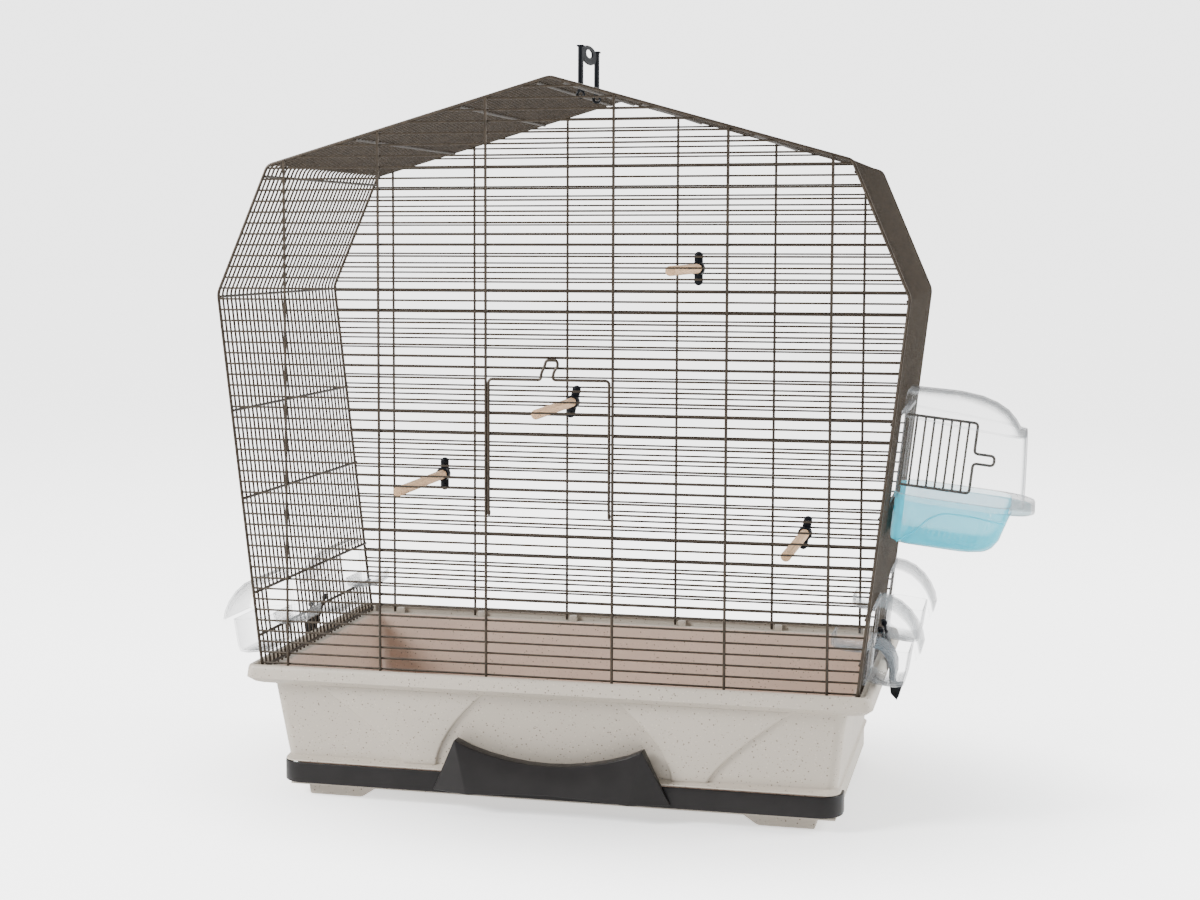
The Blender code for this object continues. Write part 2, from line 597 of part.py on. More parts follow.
def make_hanger(metal, black, top):
    half = PANEL_Y - BAR / 2 - GAP
    z = RIM_Z + RIDGE_WIRE_UP
    swing = pivot("hanger_axis", (CAGE_X, 0.0, z))
    place("ridge_wire", rod(RIDGE_WIRE_R, (CAGE_X, -half, z), (CAGE_X, half, z), 10), metal, top)
    for sign, word in ((-1, "front"), (1, "rear")):
        y = sign * STRAP_Y
        strap = place(f"hanger_strap_{word}", block(
            (CAGE_X - STRAP_HALF_X, y - STRAP_HALF_Y, z + 3.5),
            (CAGE_X + STRAP_HALF_X, y + STRAP_HALF_Y, RIM_Z + STRAP_TOP_UP),
        ), black, swing)
        cap = block(
            (CAGE_X - 3.3, y - STRAP_HALF_Y, RIM_Z + STRAP_TOP_UP - 0.5),
            (CAGE_X + 3.3, y + STRAP_HALF_Y, RIM_Z + STRAP_TOP_UP + 1.6),
        )
        combine(strap, place("cap", cap, black, swing), "UNION")
        clip_ends = (CAGE_X, y - CLIP_HALF, z), (CAGE_X, y + CLIP_HALF, z)
        combine(strap, place("clip", rod(CLIP_R, *clip_ends, 20), black, swing), "UNION")
        bore_ends = (CAGE_X, y - CLIP_HALF - 2, z), (CAGE_X, y + CLIP_HALF + 2, z)
        combine(strap, place("clip_bore", rod(CLIP_BORE_R, *bore_ends, 12), black, swing), "DIFFERENCE")

    def put(a, b, x):
        return Vector((CAGE_X + x, a, RIM_Z + b))

    outline = oval(RING_HALF_Y, RING_HALF_Z, (0.0, RING_UP), 32)
    ring = place("hanger_ring", prism(outline, put, -RING_HALF_X, RING_HALF_X), black, swing)
    hole = oval(RING_HOLE_Y, RING_HOLE_Z, (0.0, RING_UP + 1), 24)
    combine(ring, place("ring_hole", prism(hole, put, -RING_HALF_X - 2, RING_HALF_X + 2), black, swing), "DIFFERENCE")


def main():
    clear_scene()
    metal = finish("bronze_wire", (0.085, 0.072, 0.055), 0.4, 0.6)
    shell = finish("speckled_shell", (0.6, 0.57, 0.52), 0.45)
    dark = finish("charcoal_plastic", (0.035, 0.033, 0.032), 0.4)
    black = finish("black_plastic", (0.012, 0.014, 0.02), 0.4)
    wood = finish("pale_dowel", (0.72, 0.56, 0.42), 0.6)
    clear = finish("clear_plastic", (0.9, 0.93, 0.96), 0.08, 0.0, 0.3)
    blue = finish("blue_plastic", (0.45, 0.78, 0.88), 0.08, 0.0, 0.5)
    top = pivot("wire_top_axis", (CAGE_X, 0.0, RIM_Z))
    make_base(shell, dark)
    make_ends(metal, top)
    make_slopes(metal, top)
    make_front_door(metal)
    make_side_door(metal)
    make_perches(wood, black)
    make_bath(blue, clear)
    make_feeders(clear)
    make_latches(black)
    make_hanger(metal, black, top)


main()
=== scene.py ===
"""Bird cage: wire top, base, drawer, doors, perches, bath, feeders, latches and hanger, on a studio stage."""

from math import cos, hypot, pi, radians, sin

import bmesh
import bpy
from bpy.props import FloatProperty, FloatVectorProperty, IntProperty, PointerProperty
from mathutils import Matrix, Vector


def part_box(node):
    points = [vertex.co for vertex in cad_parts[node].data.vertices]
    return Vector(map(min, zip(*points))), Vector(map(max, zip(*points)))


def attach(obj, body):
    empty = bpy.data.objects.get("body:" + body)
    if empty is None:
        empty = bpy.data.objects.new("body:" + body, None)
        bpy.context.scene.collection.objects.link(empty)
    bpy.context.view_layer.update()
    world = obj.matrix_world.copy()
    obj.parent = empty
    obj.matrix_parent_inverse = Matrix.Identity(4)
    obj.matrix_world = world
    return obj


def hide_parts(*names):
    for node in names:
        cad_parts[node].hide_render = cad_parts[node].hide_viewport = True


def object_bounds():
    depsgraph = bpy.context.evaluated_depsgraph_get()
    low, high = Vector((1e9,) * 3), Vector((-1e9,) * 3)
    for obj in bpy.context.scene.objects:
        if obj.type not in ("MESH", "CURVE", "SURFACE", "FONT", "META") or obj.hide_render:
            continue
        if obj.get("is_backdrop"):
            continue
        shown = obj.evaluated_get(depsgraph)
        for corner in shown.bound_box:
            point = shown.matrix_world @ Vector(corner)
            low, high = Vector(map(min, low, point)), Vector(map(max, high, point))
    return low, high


bl_info = {
    "name": "Bird Cage",
    "version": (1, 0, 0),
    "blender": (4, 5, 0),
    "location": "View3D > Sidebar > Bird Cage",
    "description": "Builds a gabled wire bird cage round its frame, piece by piece",
    "category": "Add Mesh",
}

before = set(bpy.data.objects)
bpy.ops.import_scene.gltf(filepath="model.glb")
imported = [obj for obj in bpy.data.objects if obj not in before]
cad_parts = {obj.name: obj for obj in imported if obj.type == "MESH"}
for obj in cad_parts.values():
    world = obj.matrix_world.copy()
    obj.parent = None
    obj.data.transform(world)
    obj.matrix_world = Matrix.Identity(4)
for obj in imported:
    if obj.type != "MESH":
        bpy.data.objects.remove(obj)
CAD_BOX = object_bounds()
MM = 0.001

TUB_LOW, TUB_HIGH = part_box("tub")
CENTRE_X = (TUB_LOW[0] + TUB_HIGH[0]) / 2
RIM_Z = TUB_HIGH[2] - 4 * MM
PANEL_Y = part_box("rear_grille")[1][1] - 1.2 * MM

# All that follows is in millimetres, with heights above the rim unless a line says otherwise.

# The wire top's outline: half width and height.
FOOT, ELBOW, EAVE, RIDGE = (331.4, 0.0), (379.6, 419.2), (319.5, 560.0), (0.0, 651.0)
TILT_LENGTH = hypot(ELBOW[0] - FOOT[0], ELBOW[1])
ALONG = ((ELBOW[0] - FOOT[0]) / TILT_LENGTH, ELBOW[1] / TILT_LENGTH)
WIRE_FOOT = -4.7
RUNNER_HEIGHTS = (0.0, 36.0, 84.0, 190.0, 288.5, 415.5)
SHOULDER_RUNNER = 548.0
ROOF_RUNNER_SHARES = (0.32, 0.69, 0.955)
RUNNER_INSET = 2.0
COLUMNS = (70.0, 191.5, 300.0)
COLUMN_STAND_OFF = 1.9

# Openings: from and to along the depth, or in height.
FEEDER_WINDOWS = ((-156.0, -72.0), (96.0, 180.0))
FEEDER_RISE = (36.0, 84.0)
SIDE_DOORWAY = (-84.0, 0.0)
SIDE_DOOR_RISE = (190.0, 288.5)
FRONT_DOORWAY = (185.0, 341.0)
BATH_Y = (-118.0, 42.0)

# Each perch: distance from the middle, height, and the holder's turn in degrees.
PERCHES = ((97.7, 443.0, 0.0), (-60.3, 275.0, 14.0), (-230.0, 179.0, 0.0), (233.0, 119.0, 10.0))

# The stage, in metres and watts: each light's name, place, size and power.
LIGHTS = (
    ("key", (-2.5, -2.0, 1.9), 1.0, 230.0),
    ("side", (2.7, 0.3, 1.4), 1.6, 130.0),
    ("back", (-0.4, 2.6, 2.6), 2.0, 50.0),
)
LIGHTS_AIM = 0.35
FLOOR_RADIUS, FLOOR_GAP = 30.0, 0.0005
WORLD_GLOW, BACKDROP_GLOW = 0.55, 3.4
FLOOR_GLOW = 0.45
CAMERA_PLACE = (0.515, -2.312, 0.480)
CAMERA_SHIFT = (0.066, -0.038)


def angle_prop(name, description, degrees):
    """An angle setting, given in degrees."""
    return FloatProperty(name=name, description=description, default=radians(degrees), subtype="ANGLE")


def length_prop(name, description, default):
    """A length setting, in metres."""
    return FloatProperty(name=name, description=description, default=default, unit="LENGTH", min=0.0)


def colour_prop(name, description, default):
    return FloatVectorProperty(
        name=name, description=description, default=default, size=3, subtype="COLOR", min=0.0, max=1.0
    )


class BirdCageWires(bpy.types.PropertyGroup):
    wire_radius: length_prop("Wire radius", "Radius of the close-set wires", 0.00122)
    runner_radius: length_prop("Runner radius", "Radius of the wires that cross and carry them", 0.0016)
    outline_radius: length_prop("Outline radius", "Radius of the wires round the front and the rear", 0.00185)
    spacing: length_prop("Spacing", "Distance between neighbouring wires", 0.012)
    colour: colour_prop("Wire colour", "Coat of the wires", (0.036, 0.027, 0.0185))


class BirdCageBase(bpy.types.PropertyGroup):
    shell: colour_prop("Shell", "Moulded base", (0.42, 0.375, 0.315))
    # The inside colour is the shell's own beige warmed and pinkened as painted shade for the inner faces.
    inside: colour_prop("Inside", "Inner faces of the base", (0.5, 0.37, 0.295))
    speck: colour_prop("Specks", "Specks in the moulding", (0.15, 0.125, 0.1))
    drawer: colour_prop("Drawer", "Front strip and handle", (0.0088, 0.0077, 0.0077))
    petal_height: length_prop("Petal height", "How far the moulded petals stand out", 0.0036)


class BirdCageFittings(bpy.types.PropertyGroup):
    black: colour_prop("Black", "Holders, latches and hanger", (0.0035, 0.0045, 0.0065))
    wood: colour_prop("Wood", "Perch dowels", (0.62, 0.4, 0.235))
    clear: colour_prop("Clear", "Feeders and bath hood", (0.72, 0.745, 0.765))
    blue: colour_prop("Blue", "Bath tub", (0.05, 0.75, 0.95))
    wall: length_prop("Wall", "Thickness of the clear and blue mouldings", 0.0018)


class BirdCageStage(bpy.types.PropertyGroup):
    lens: FloatProperty(name="Lens", description="Focal length of the camera", default=61.2, unit="CAMERA")
    turn: angle_prop("Turn", "How far the camera stands to the right", 14.45)
    tip: angle_prop("Tip", "How far the camera looks down", 4.65)
    floor: colour_prop("Floor", "Floor and background", (0.9, 0.9, 0.9))
    sides: IntProperty(name="Floor sides", description="Sides of the round floor", default=64, min=8)


# Placing, in millimetres.

def at_end(y):
    """Places (x from the middle, height above the rim, depth) on an end of the wire top."""
    return lambda x, up, depth=0.0: Vector((CENTRE_X + x * MM, (y + depth) * MM, RIM_Z + up * MM))


def at_wall(side):
    """Places (distance out of the side wall, distance up along it, y)."""
    def put(away, up, y):
        x = FOOT[0] + ALONG[0] * up + ALONG[1] * away
        z = ALONG[1] * up - ALONG[0] * away
        return Vector((CENTRE_X + side * x * MM, y * MM, RIM_Z + z * MM))
    return put


def half_width(up):
    """Half the width of the wire top at a height."""
    stops = (FOOT, ELBOW, EAVE, RIDGE)
    for low, high in zip(stops, stops[1:]):
        if up <= high[1]:
            return low[0] + (high[0] - low[0]) * (up - low[1]) / (high[1] - low[1])
    return 0.0


# Shapes.

def rounded_path(points, radius, steps=4):
    """An open path whose corners are turned to arcs."""
    path = [points[0]]
    for before, corner, after in zip(points, points[1:], points[2:]):
        come, go = (before - corner), (after - corner)
        reach = min(radius, come.length * 0.45, go.length * 0.45)
        start, end = corner + come.normalized() * reach, corner + go.normalized() * reach
        for i in range(steps + 1):
            t = i / steps
            path.append(start * (1 - t) ** 2 + corner * 2 * t * (1 - t) + end * t * t)
    path.append(points[-1])
    return path


def outline_mesh(points, place, low, high):
    """A flat outline drawn out between two depths."""
    mesh = bmesh.new()
    face = mesh.faces.new([mesh.verts.new(place(a, b, low)) for a, b in points])
    made = bmesh.ops.extrude_face_region(mesh, geom=[face], use_keep_orig=True)
    moved = [item for item in made["geom"] if isinstance(item, bmesh.types.BMVert)]
    bmesh.ops.translate(mesh, vec=place(0, 0, high) - place(0, 0, low), verts=moved)
    bmesh.ops.recalc_face_normals(mesh, faces=mesh.faces)
    return mesh


def box_mesh(place, low, high):
    """A box between two corners, each set by the placing function."""
    mesh = bmesh.new()
    bmesh.ops.create_cube(mesh, size=1.0)
    for vert in mesh.verts:
        where = [b if c > 0 else a for a, b, c in zip(low, high, vert.co)]
        vert.co = place(*where)
    bmesh.ops.recalc_face_normals(mesh, faces=mesh.faces)
    return mesh


def bar_mesh(start, end, radius, sides=20):
    """A straight round bar."""
    along = end - start
    mesh = bmesh.new()
    turn = Vector((0.0, 0.0, 1.0)).rotation_difference(along).to_matrix().to_4x4()
    bmesh.ops.create_cone(
        mesh, cap_ends=True, segments=sides, radius1=radius, radius2=radius, depth=along.length,
        matrix=Matrix.Translation((start + end) / 2) @ turn,
    )
    return mesh


def loft_mesh(rings, closed=True):
    """A skin drawn ring by ring, each a list of points, by extruding the ring before it."""
    mesh = bmesh.new()
    count = len(rings[0])
    first = [mesh.verts.new(point) for point in rings[0]]
    pairs = zip(first, first[1:] + first[:1]) if closed else zip(first, first[1:])
    edges = [mesh.edges.new(pair) for pair in pairs]
    for ring in rings[1:]:
        made = bmesh.ops.extrude_edge_only(mesh, edges=edges)
        mesh.verts.ensure_lookup_table()
        new = mesh.verts[-count:]
        for vert, point in zip(new, ring):
            vert.co = point
        edges = [item for item in made["geom"] if isinstance(item, bmesh.types.BMEdge)
                 and all(vert in new for vert in item.verts)]
    return mesh


def ring_of(place, low, high, radius, up, steps=6):
    """A rounded rectangle of (a, b) points at a height."""
    points = []
    for corner, (right, rear) in enumerate(((True, True), (False, True), (False, False), (True, False))):
        middle_a = high[0] - radius if right else low[0] + radius
        middle_b = high[1] - radius if rear else low[1] + radius
        for i in range(steps + 1):
            turn = pi / 2 * (corner + i / steps)
            points.append(place(middle_a + radius * cos(turn), middle_b + radius * sin(turn), up))
    return points


def cap_ends(mesh):
    """Closes the open ends of a skin."""
    bmesh.ops.holes_fill(mesh, edges=[edge for edge in mesh.edges if edge.is_boundary])
    bmesh.ops.recalc_face_normals(mesh, faces=mesh.faces)
    return mesh


def soften(mesh, width, segments=2, angle=25):
    """Rounds the edges that turn by more than an angle."""
    sharp = [edge for edge in mesh.edges
             if len(edge.link_faces) == 2 and edge.calc_face_angle(0) > radians(angle)]
    bmesh.ops.bevel(
        mesh, geom=sharp, offset=width * MM, offset_type="OFFSET", segments=segments, profile=0.5,
        affect="EDGES", clamp_overlap=True, material=-1,
    )
    return mesh


def merged(meshes):
    """Several meshes as one, each still its own shell."""
    whole = bmesh.new()
    for mesh in meshes:
        carried = bpy.data.meshes.new("carried")
        mesh.to_mesh(carried)
        mesh.free()
        whole.from_mesh(carried)
        bpy.data.meshes.remove(carried)
    return whole


def piece(name, mesh, material, body, nodes=(), smooth=35):
    """Makes an object of a bmesh, and gives it to its body, its slot and the nodes that it stands for."""
    data = bpy.data.meshes.new(name)
    mesh.to_mesh(data)
    mesh.free()
    return finish_piece(name, data, material, body, nodes, smooth)


def finish_piece(name, data, material, body, nodes, smooth=35):
    """Makes an object of ready mesh data, as piece does of a bmesh."""
    data.name = name
    data.shade_smooth()
    data.set_sharp_from_angle(angle=radians(smooth))
    made = bpy.data.objects.new(name, data)
    data.materials.clear()
    data.materials.append(material)
    bpy.context.scene.collection.objects.link(made)
    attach(made, body)
    if nodes:
        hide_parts(*nodes)
    return made


def wire_mesh(paths, radius, resolution=1):
    """Round wires along the paths, as one mesh."""
    curve = bpy.data.curves.new("wire", "CURVE")
    curve.dimensions = "3D"
    curve.bevel_depth = radius
    curve.bevel_resolution = resolution
    curve.use_fill_caps = True
    for path in paths:
        loop = len(path) > 2 and (path[0] - path[-1]).length < 1e-6
        points = path[:-1] if loop else path
        spline = curve.splines.new("POLY")
        spline.points.add(len(points) - 1)
        for point, where in zip(spline.points, points):
            point.co = (*where, 1.0)
        spline.use_cyclic_u = loop
    helper = bpy.data.objects.new("wire", curve)
    bpy.context.scene.collection.objects.link(helper)
    bpy.context.view_layer.update()
    data = bpy.data.meshes.new_from_object(helper.evaluated_get(bpy.context.evaluated_depsgraph_get()))
    bpy.data.objects.remove(helper)
    bpy.data.curves.remove(curve)
    mesh = bmesh.new()
    mesh.from_mesh(data)
    bpy.data.meshes.remove(data)
    bmesh.ops.remove_doubles(mesh, verts=mesh.verts, dist=1e-6)
    bmesh.ops.recalc_face_normals(mesh, faces=mesh.faces)
    return mesh


def cut(made, tool):
    """Cuts a bmesh out of a piece."""
    data = bpy.data.meshes.new("tool")
    bmesh.ops.recalc_face_normals(tool, faces=tool.faces)
    tool.to_mesh(data)
    tool.free()
    helper = bpy.data.objects.new("tool", data)
    bpy.context.scene.collection.objects.link(helper)
    modifier = made.modifiers.new("cut", "BOOLEAN")
    modifier.object = helper
    bpy.context.view_layer.update()
    result = bpy.data.meshes.new_from_object(made.evaluated_get(bpy.context.evaluated_depsgraph_get()))
    made.modifiers.clear()
    made.data = result
    bpy.data.objects.remove(helper)
    result.set_sharp_from_angle(angle=radians(35))


def thicken(mesh, thickness):
    """Gives a skin a wall, inwards, as a closed shell."""
    bmesh.ops.recalc_face_normals(mesh, faces=mesh.faces)
    bmesh.ops.solidify(mesh, geom=mesh.faces[:], thickness=thickness)
    bmesh.ops.recalc_face_normals(mesh, faces=mesh.faces)
    return mesh


# Finishes.

class Finish:
    """A material and its nodes, on Object coordinates."""

    def __init__(self, name, colour, roughness, metallic=0.0, specular=0.35):
        self.material = bpy.data.materials.new(name)
        self.material.use_nodes = True
        self.nodes = self.material.node_tree.nodes
        self.links = self.material.node_tree.links
        self.shader = self.nodes["Principled BSDF"]
        self.shader.inputs["Base Color"].default_value = (*colour, 1.0)
        self.shader.inputs["Roughness"].default_value = roughness
        self.shader.inputs["Metallic"].default_value = metallic
        self.shader.inputs["Specular IOR Level"].default_value = specular
        self.where = self.nodes.new("ShaderNodeTexCoord").outputs["Object"]

    def scaled(self, scale):
        """The coordinates stretched by a factor on each axis."""
        mapping = self.nodes.new("ShaderNodeMapping")
        mapping.inputs["Scale"].default_value = scale
        self.links.new(self.where, mapping.inputs["Vector"])
        return mapping.outputs["Vector"]

    def noise(self, scale, detail=2.0, where=None):
        made = self.nodes.new("ShaderNodeTexNoise")
        made.inputs["Scale"].default_value = scale
        made.inputs["Detail"].default_value = detail
        self.links.new(where or self.where, made.inputs["Vector"])
        return made.outputs["Fac"]

    def ramp(self, value, stops):
        made = self.nodes.new("ShaderNodeValToRGB")
        ends = made.color_ramp.elements
        while len(ends) < len(stops):
            ends.new(0.5)
        for end, (place, colour) in zip(ends, stops):
            end.position = place
            end.color = (*colour, 1.0)
        self.links.new(value, made.inputs["Fac"])
        return made.outputs["Color"]

    def tones(self, value, colour, dark, light):
        """The colour from a darker to a lighter tone, over the middle of a value."""
        return self.ramp(value, ((0.3, shaded(colour, dark)), (0.7, shaded(colour, light))))

    def spread(self, value, low, high, start=0.0, end=1.0, curve="LINEAR"):
        """A value from start to end, carried to between low and high."""
        made = self.nodes.new("ShaderNodeMapRange")
        made.interpolation_type = curve
        for name, number in (("From Min", start), ("From Max", end), ("To Min", low), ("To Max", high)):
            made.inputs[name].default_value = number
        self.links.new(value, made.inputs["Value"])
        return made.outputs["Result"]

    def mix(self, share, first, second):
        """Two colours, or a colour and a link, mixed by a share."""
        made = self.nodes.new("ShaderNodeMix")
        made.data_type = "RGBA"
        self.links.new(share, made.inputs["Factor"])
        colours = [item for item in made.inputs if item.type == "RGBA"]
        for socket, value in zip(colours, (first, second)):
            if isinstance(value, tuple):
                socket.default_value = (*value, 1.0)
            else:
                self.links.new(value, socket)
        return [item for item in made.outputs if item.type == "RGBA"][0]

    def specks(self, scale, size):
        """1 on small spots scattered through the material, 0 between them."""
        made = self.nodes.new("ShaderNodeTexVoronoi")
        made.inputs["Scale"].default_value = scale
        self.links.new(self.where, made.inputs["Vector"])
        return self.ramp(made.outputs["Distance"], ((size * 0.6, (1, 1, 1)), (size, (0, 0, 0))))

    def bump(self, height, strength, distance):
        """Raises the surface by a value."""
        made = self.nodes.new("ShaderNodeBump")
        made.inputs["Strength"].default_value = strength
        made.inputs["Distance"].default_value = distance
        self.links.new(height, made.inputs["Height"])
        self.links.new(made.outputs["Normal"], self.shader.inputs["Normal"])

    def use(self, socket, value):
        """Feeds a value to a socket of the shader."""
        self.links.new(value, self.shader.inputs[socket])


def shaded(colour, factor):
    """The colour made darker or lighter."""
    return tuple(min(1.0, channel * factor) for channel in colour)


def finish_of(name, make):
    """The detailed material of that name, made the first time that it is asked for."""
    found = bpy.data.materials.get(f"{name}_detailed")
    return found or make(f"{name}_detailed")


def coated_wire(name):
    """Bronze powder coat on the wires."""
    colour = bpy.context.scene.bird_cage_wires.colour
    made = Finish(name, colour, 0.38, 0.3, 0.25)
    mottle = made.noise(140.0, 4.0)
    made.use("Base Color", made.tones(mottle, colour, 0.72, 1.35))
    made.use("Roughness", made.spread(made.noise(420.0), 0.3, 0.5))
    made.bump(made.noise(900.0), 0.15, 0.0004)
    return made.material


def speckled_shell(name, inside=False):
    """Moulded shell with fine specks of three tones."""
    base = bpy.context.scene.bird_cage_base
    # Inside, the colour is the shell's beige with a warmer, pinker tint of painted shade.
    colour = base.inside if inside else base.shell
    made = Finish(name, colour, 0.42)
    cloud = made.tones(made.noise(9.0, 3.0), colour, 0.97, 1.02)
    dark = made.mix(made.specks(165.0, 0.17), cloud, tuple(base.speck))
    grey = made.mix(made.specks(230.0, 0.2), dark, shaded(colour, 0.66))
    made.use("Base Color", made.mix(made.specks(190.0, 0.18), grey, shaded(colour, 1.2)))
    made.use("Roughness", made.spread(made.noise(60.0), 0.36, 0.5))
    made.bump(made.noise(1600.0, 3.0), 0.12, 0.0003)
    return made.material


def inner_shell(name):
    """The shell's colour made warmer and pinker as painted shade, for the tray and the tub's inside."""
    return speckled_shell(name, inside=True)


def charcoal_plastic(name):
    """The drawer's strip and handle."""
    colour = bpy.context.scene.bird_cage_base.drawer
    made = Finish(name, colour, 0.36, specular=0.22)
    made.use("Base Color", made.tones(made.noise(35.0), colour, 0.85, 1.2))
    made.use("Roughness", made.spread(made.noise(220.0, 4.0), 0.3, 0.46))
    made.bump(made.noise(1400.0, 2.0), 0.1, 0.0003)
    return made.material


def black_plastic(name):
    """The holders', latches' and hanger's plastic."""
    colour = bpy.context.scene.bird_cage_fittings.black
    made = Finish(name, colour, 0.34, specular=0.14)
    made.use("Base Color", made.tones(made.noise(90.0), colour, 0.8, 1.4))
    made.use("Roughness", made.spread(made.noise(500.0), 0.28, 0.44))
    made.bump(made.noise(1500.0), 0.1, 0.0003)
    return made.material


def dowel_wood(name):
    """Pale dowel with its grain along the depth."""
    colour = bpy.context.scene.bird_cage_fittings.wood
    made = Finish(name, colour, 0.6)
    grain = made.noise(1.0, 5.0, made.scaled((900.0, 16.0, 900.0)))
    tones = ((0.32, shaded(colour, 0.72)), (0.5, tuple(colour)), (0.72, shaded(colour, 1.14)))
    pale = made.ramp(grain, tones)
    streaks = made.noise(1.0, 3.0, made.scaled((260.0, 5.0, 260.0)))
    share = made.ramp(streaks, ((0.55, (0, 0, 0)), (0.8, (0.5, 0.5, 0.5))))
    made.use("Base Color", made.mix(share, pale, shaded(colour, 0.62)))
    made.use("Roughness", made.spread(grain, 0.5, 0.72))
    made.bump(grain, 0.25, 0.0004)
    return made.material


def see_through(name, colour, edge, faint, dense, start, roughness):
    """Polished plastic that is clearest face on and denser along its edges."""
    made = Finish(name, colour, roughness)
    facing = made.nodes.new("ShaderNodeLayerWeight")
    facing.inputs["Blend"].default_value = 0.35
    cloud = made.noise(24.0, 3.0)
    made.use("Base Color", made.mix(facing.outputs["Facing"], tuple(colour), edge))
    made.use("Alpha", made.spread(facing.outputs["Facing"], faint, dense, start))
    made.use("Roughness", made.spread(cloud, roughness * 0.7, roughness * 1.5))
    made.bump(cloud, 0.06, 0.002)
    made.shader.inputs["IOR"].default_value = 1.49
    return made.material


def clear_plastic(name):
    """The feeders' and the bath hood's plastic."""
    colour = bpy.context.scene.bird_cage_fittings.clear
    return see_through(name, colour, (0.06, 0.07, 0.08), 0.03, 1.0, 0.38, 0.05)


def blue_plastic(name):
    """The bath tub's tinted plastic."""
    colour = bpy.context.scene.bird_cage_fittings.blue
    return see_through(name, colour, shaded(colour, 0.45), 0.46, 0.97, 0.3, 0.06)


def grey_plastic(name):
    """The feeder chute's plastic."""
    made = Finish(name, (0.1, 0.115, 0.13), 0.25)
    made.use("Roughness", made.spread(made.noise(200.0), 0.2, 0.35))
    made.bump(made.noise(1200.0), 0.1, 0.0003)
    return made.material


def deep_blue(name):
    """The darker blue of the bath's ribs."""
    made = Finish(name, (0.03, 0.3, 0.42), 0.2)
    made.shader.inputs["Alpha"].default_value = 0.75
    made.use("Roughness", made.spread(made.noise(200.0), 0.15, 0.3))
    return made.material


def floor_paper(name):
    """White paper that glows for the camera, with a painted shadow round the cage where the glow is least."""
    colour = bpy.context.scene.bird_cage_stage.floor
    made = Finish(name, colour, 0.85)
    made.shader.inputs["Emission Color"].default_value = (1.0, 1.0, 1.0, 1.0)
    # Painted shadow: an oval a little off the cage's middle where the camera's glow drops from 2.5 to 0.5.
    painted_shadow = made.nodes.new("ShaderNodeTexGradient")
    painted_shadow.gradient_type = "SPHERICAL"
    around = made.scaled((1 / 0.66, 1 / 0.46, 1.0))
    around.node.inputs["Location"].default_value = (-0.04, 0.05, 0.0)
    made.links.new(around, painted_shadow.inputs["Vector"])
    glow = made.nodes.new("ShaderNodeMath")
    glow.operation = "MULTIPLY_ADD"
    made.links.new(made.nodes.new("ShaderNodeLightPath").outputs["Is Camera Ray"], glow.inputs[0])
    made.links.new(made.spread(painted_shadow.outputs["Fac"], 2.5, 0.5, 0.0, 0.62, "SMOOTHSTEP"), glow.inputs[1])
    glow.inputs[2].default_value = FLOOR_GLOW
    made.use("Emission Strength", glow.outputs["Value"])
    made.use("Roughness", made.spread(made.noise(6.0), 0.8, 0.9))
    return made.material


# The wire top.

def wall_runs(y, side):
    """The stretches of a hoop's lower wall, as heights, between its openings."""
    gaps = [FEEDER_RISE] if any(low < y < high for low, high in FEEDER_WINDOWS) else []
    if side > 0 and SIDE_DOORWAY[0] < y < SIDE_DOORWAY[1]:
        gaps.append(SIDE_DOOR_RISE)
    stops = [WIRE_FOOT, *[up for gap in gaps for up in gap], None]
    return list(zip(stops[::2], stops[1::2]))


def hoop_paths(y):
    """A wire that climbs one wall, crosses the roof and comes down the other."""
    put = at_end(y)
    paths, tops = [], {}
    for side in (-1, 1):
        *short, (top, _) = wall_runs(y, side)
        tops[side] = top
        for low, high in short:
            paths.append([put(side * half_width(up), up) for up in (low, high)])
    left = [(-half_width(tops[-1]), tops[-1]), (-ELBOW[0], ELBOW[1]), (-EAVE[0], EAVE[1])]
    right = [EAVE, ELBOW, (half_width(tops[1]), tops[1])]
    paths.append(rounded_path([put(x, up) for x, up in (*left, RIDGE, *right)], 5 * MM))
    return paths


def runner_paths():
    """The wires that run front to rear inside the hoops."""
    spots = [(side * (half_width(up) - RUNNER_INSET), up)
             for side in (-1, 1) for up in RUNNER_HEIGHTS]
    spots += [(side * (half_width(SHOULDER_RUNNER) - RUNNER_INSET), SHOULDER_RUNNER) for side in (-1, 1)]
    for share in ROOF_RUNNER_SHARES:
        up = EAVE[1] + (RIDGE[1] - EAVE[1]) * share
        spots += [(side * half_width(up), up - RUNNER_INSET) for side in (-1, 1)]
    front, rear = at_end(-PANEL_Y / MM), at_end(PANEL_Y / MM)
    return [[front(x, up), rear(x, up)] for x, up in spots]


def end_paths(y, step, doorway=None):
    """The close level wires of the front or the rear."""
    first, clear_of_ridge = 5.0, 8.0
    put = at_end(y)
    paths, up = [], first
    while up < RIDGE[1] - clear_of_ridge:
        reach = half_width(up)
        if doorway and doorway[0] < up < doorway[1]:
            for side in (-1, 1):
                paths.append([put(side * COLUMNS[0], up), put(side * reach, up)])
        else:
            paths.append([put(-reach, up), put(reach, up)])
        up += step
    return paths


def column_paths(y):
    """The upright wires outside the level wires of an end."""
    put = at_end(y)
    paths = []
    for x in COLUMNS:
        top = EAVE[1] + (RIDGE[1] - EAVE[1]) * (1 - x / EAVE[0])
        for side in (-1, 1):
            paths.append([put(side * x, WIRE_FOOT), put(side * x, top - 1)])
    return paths


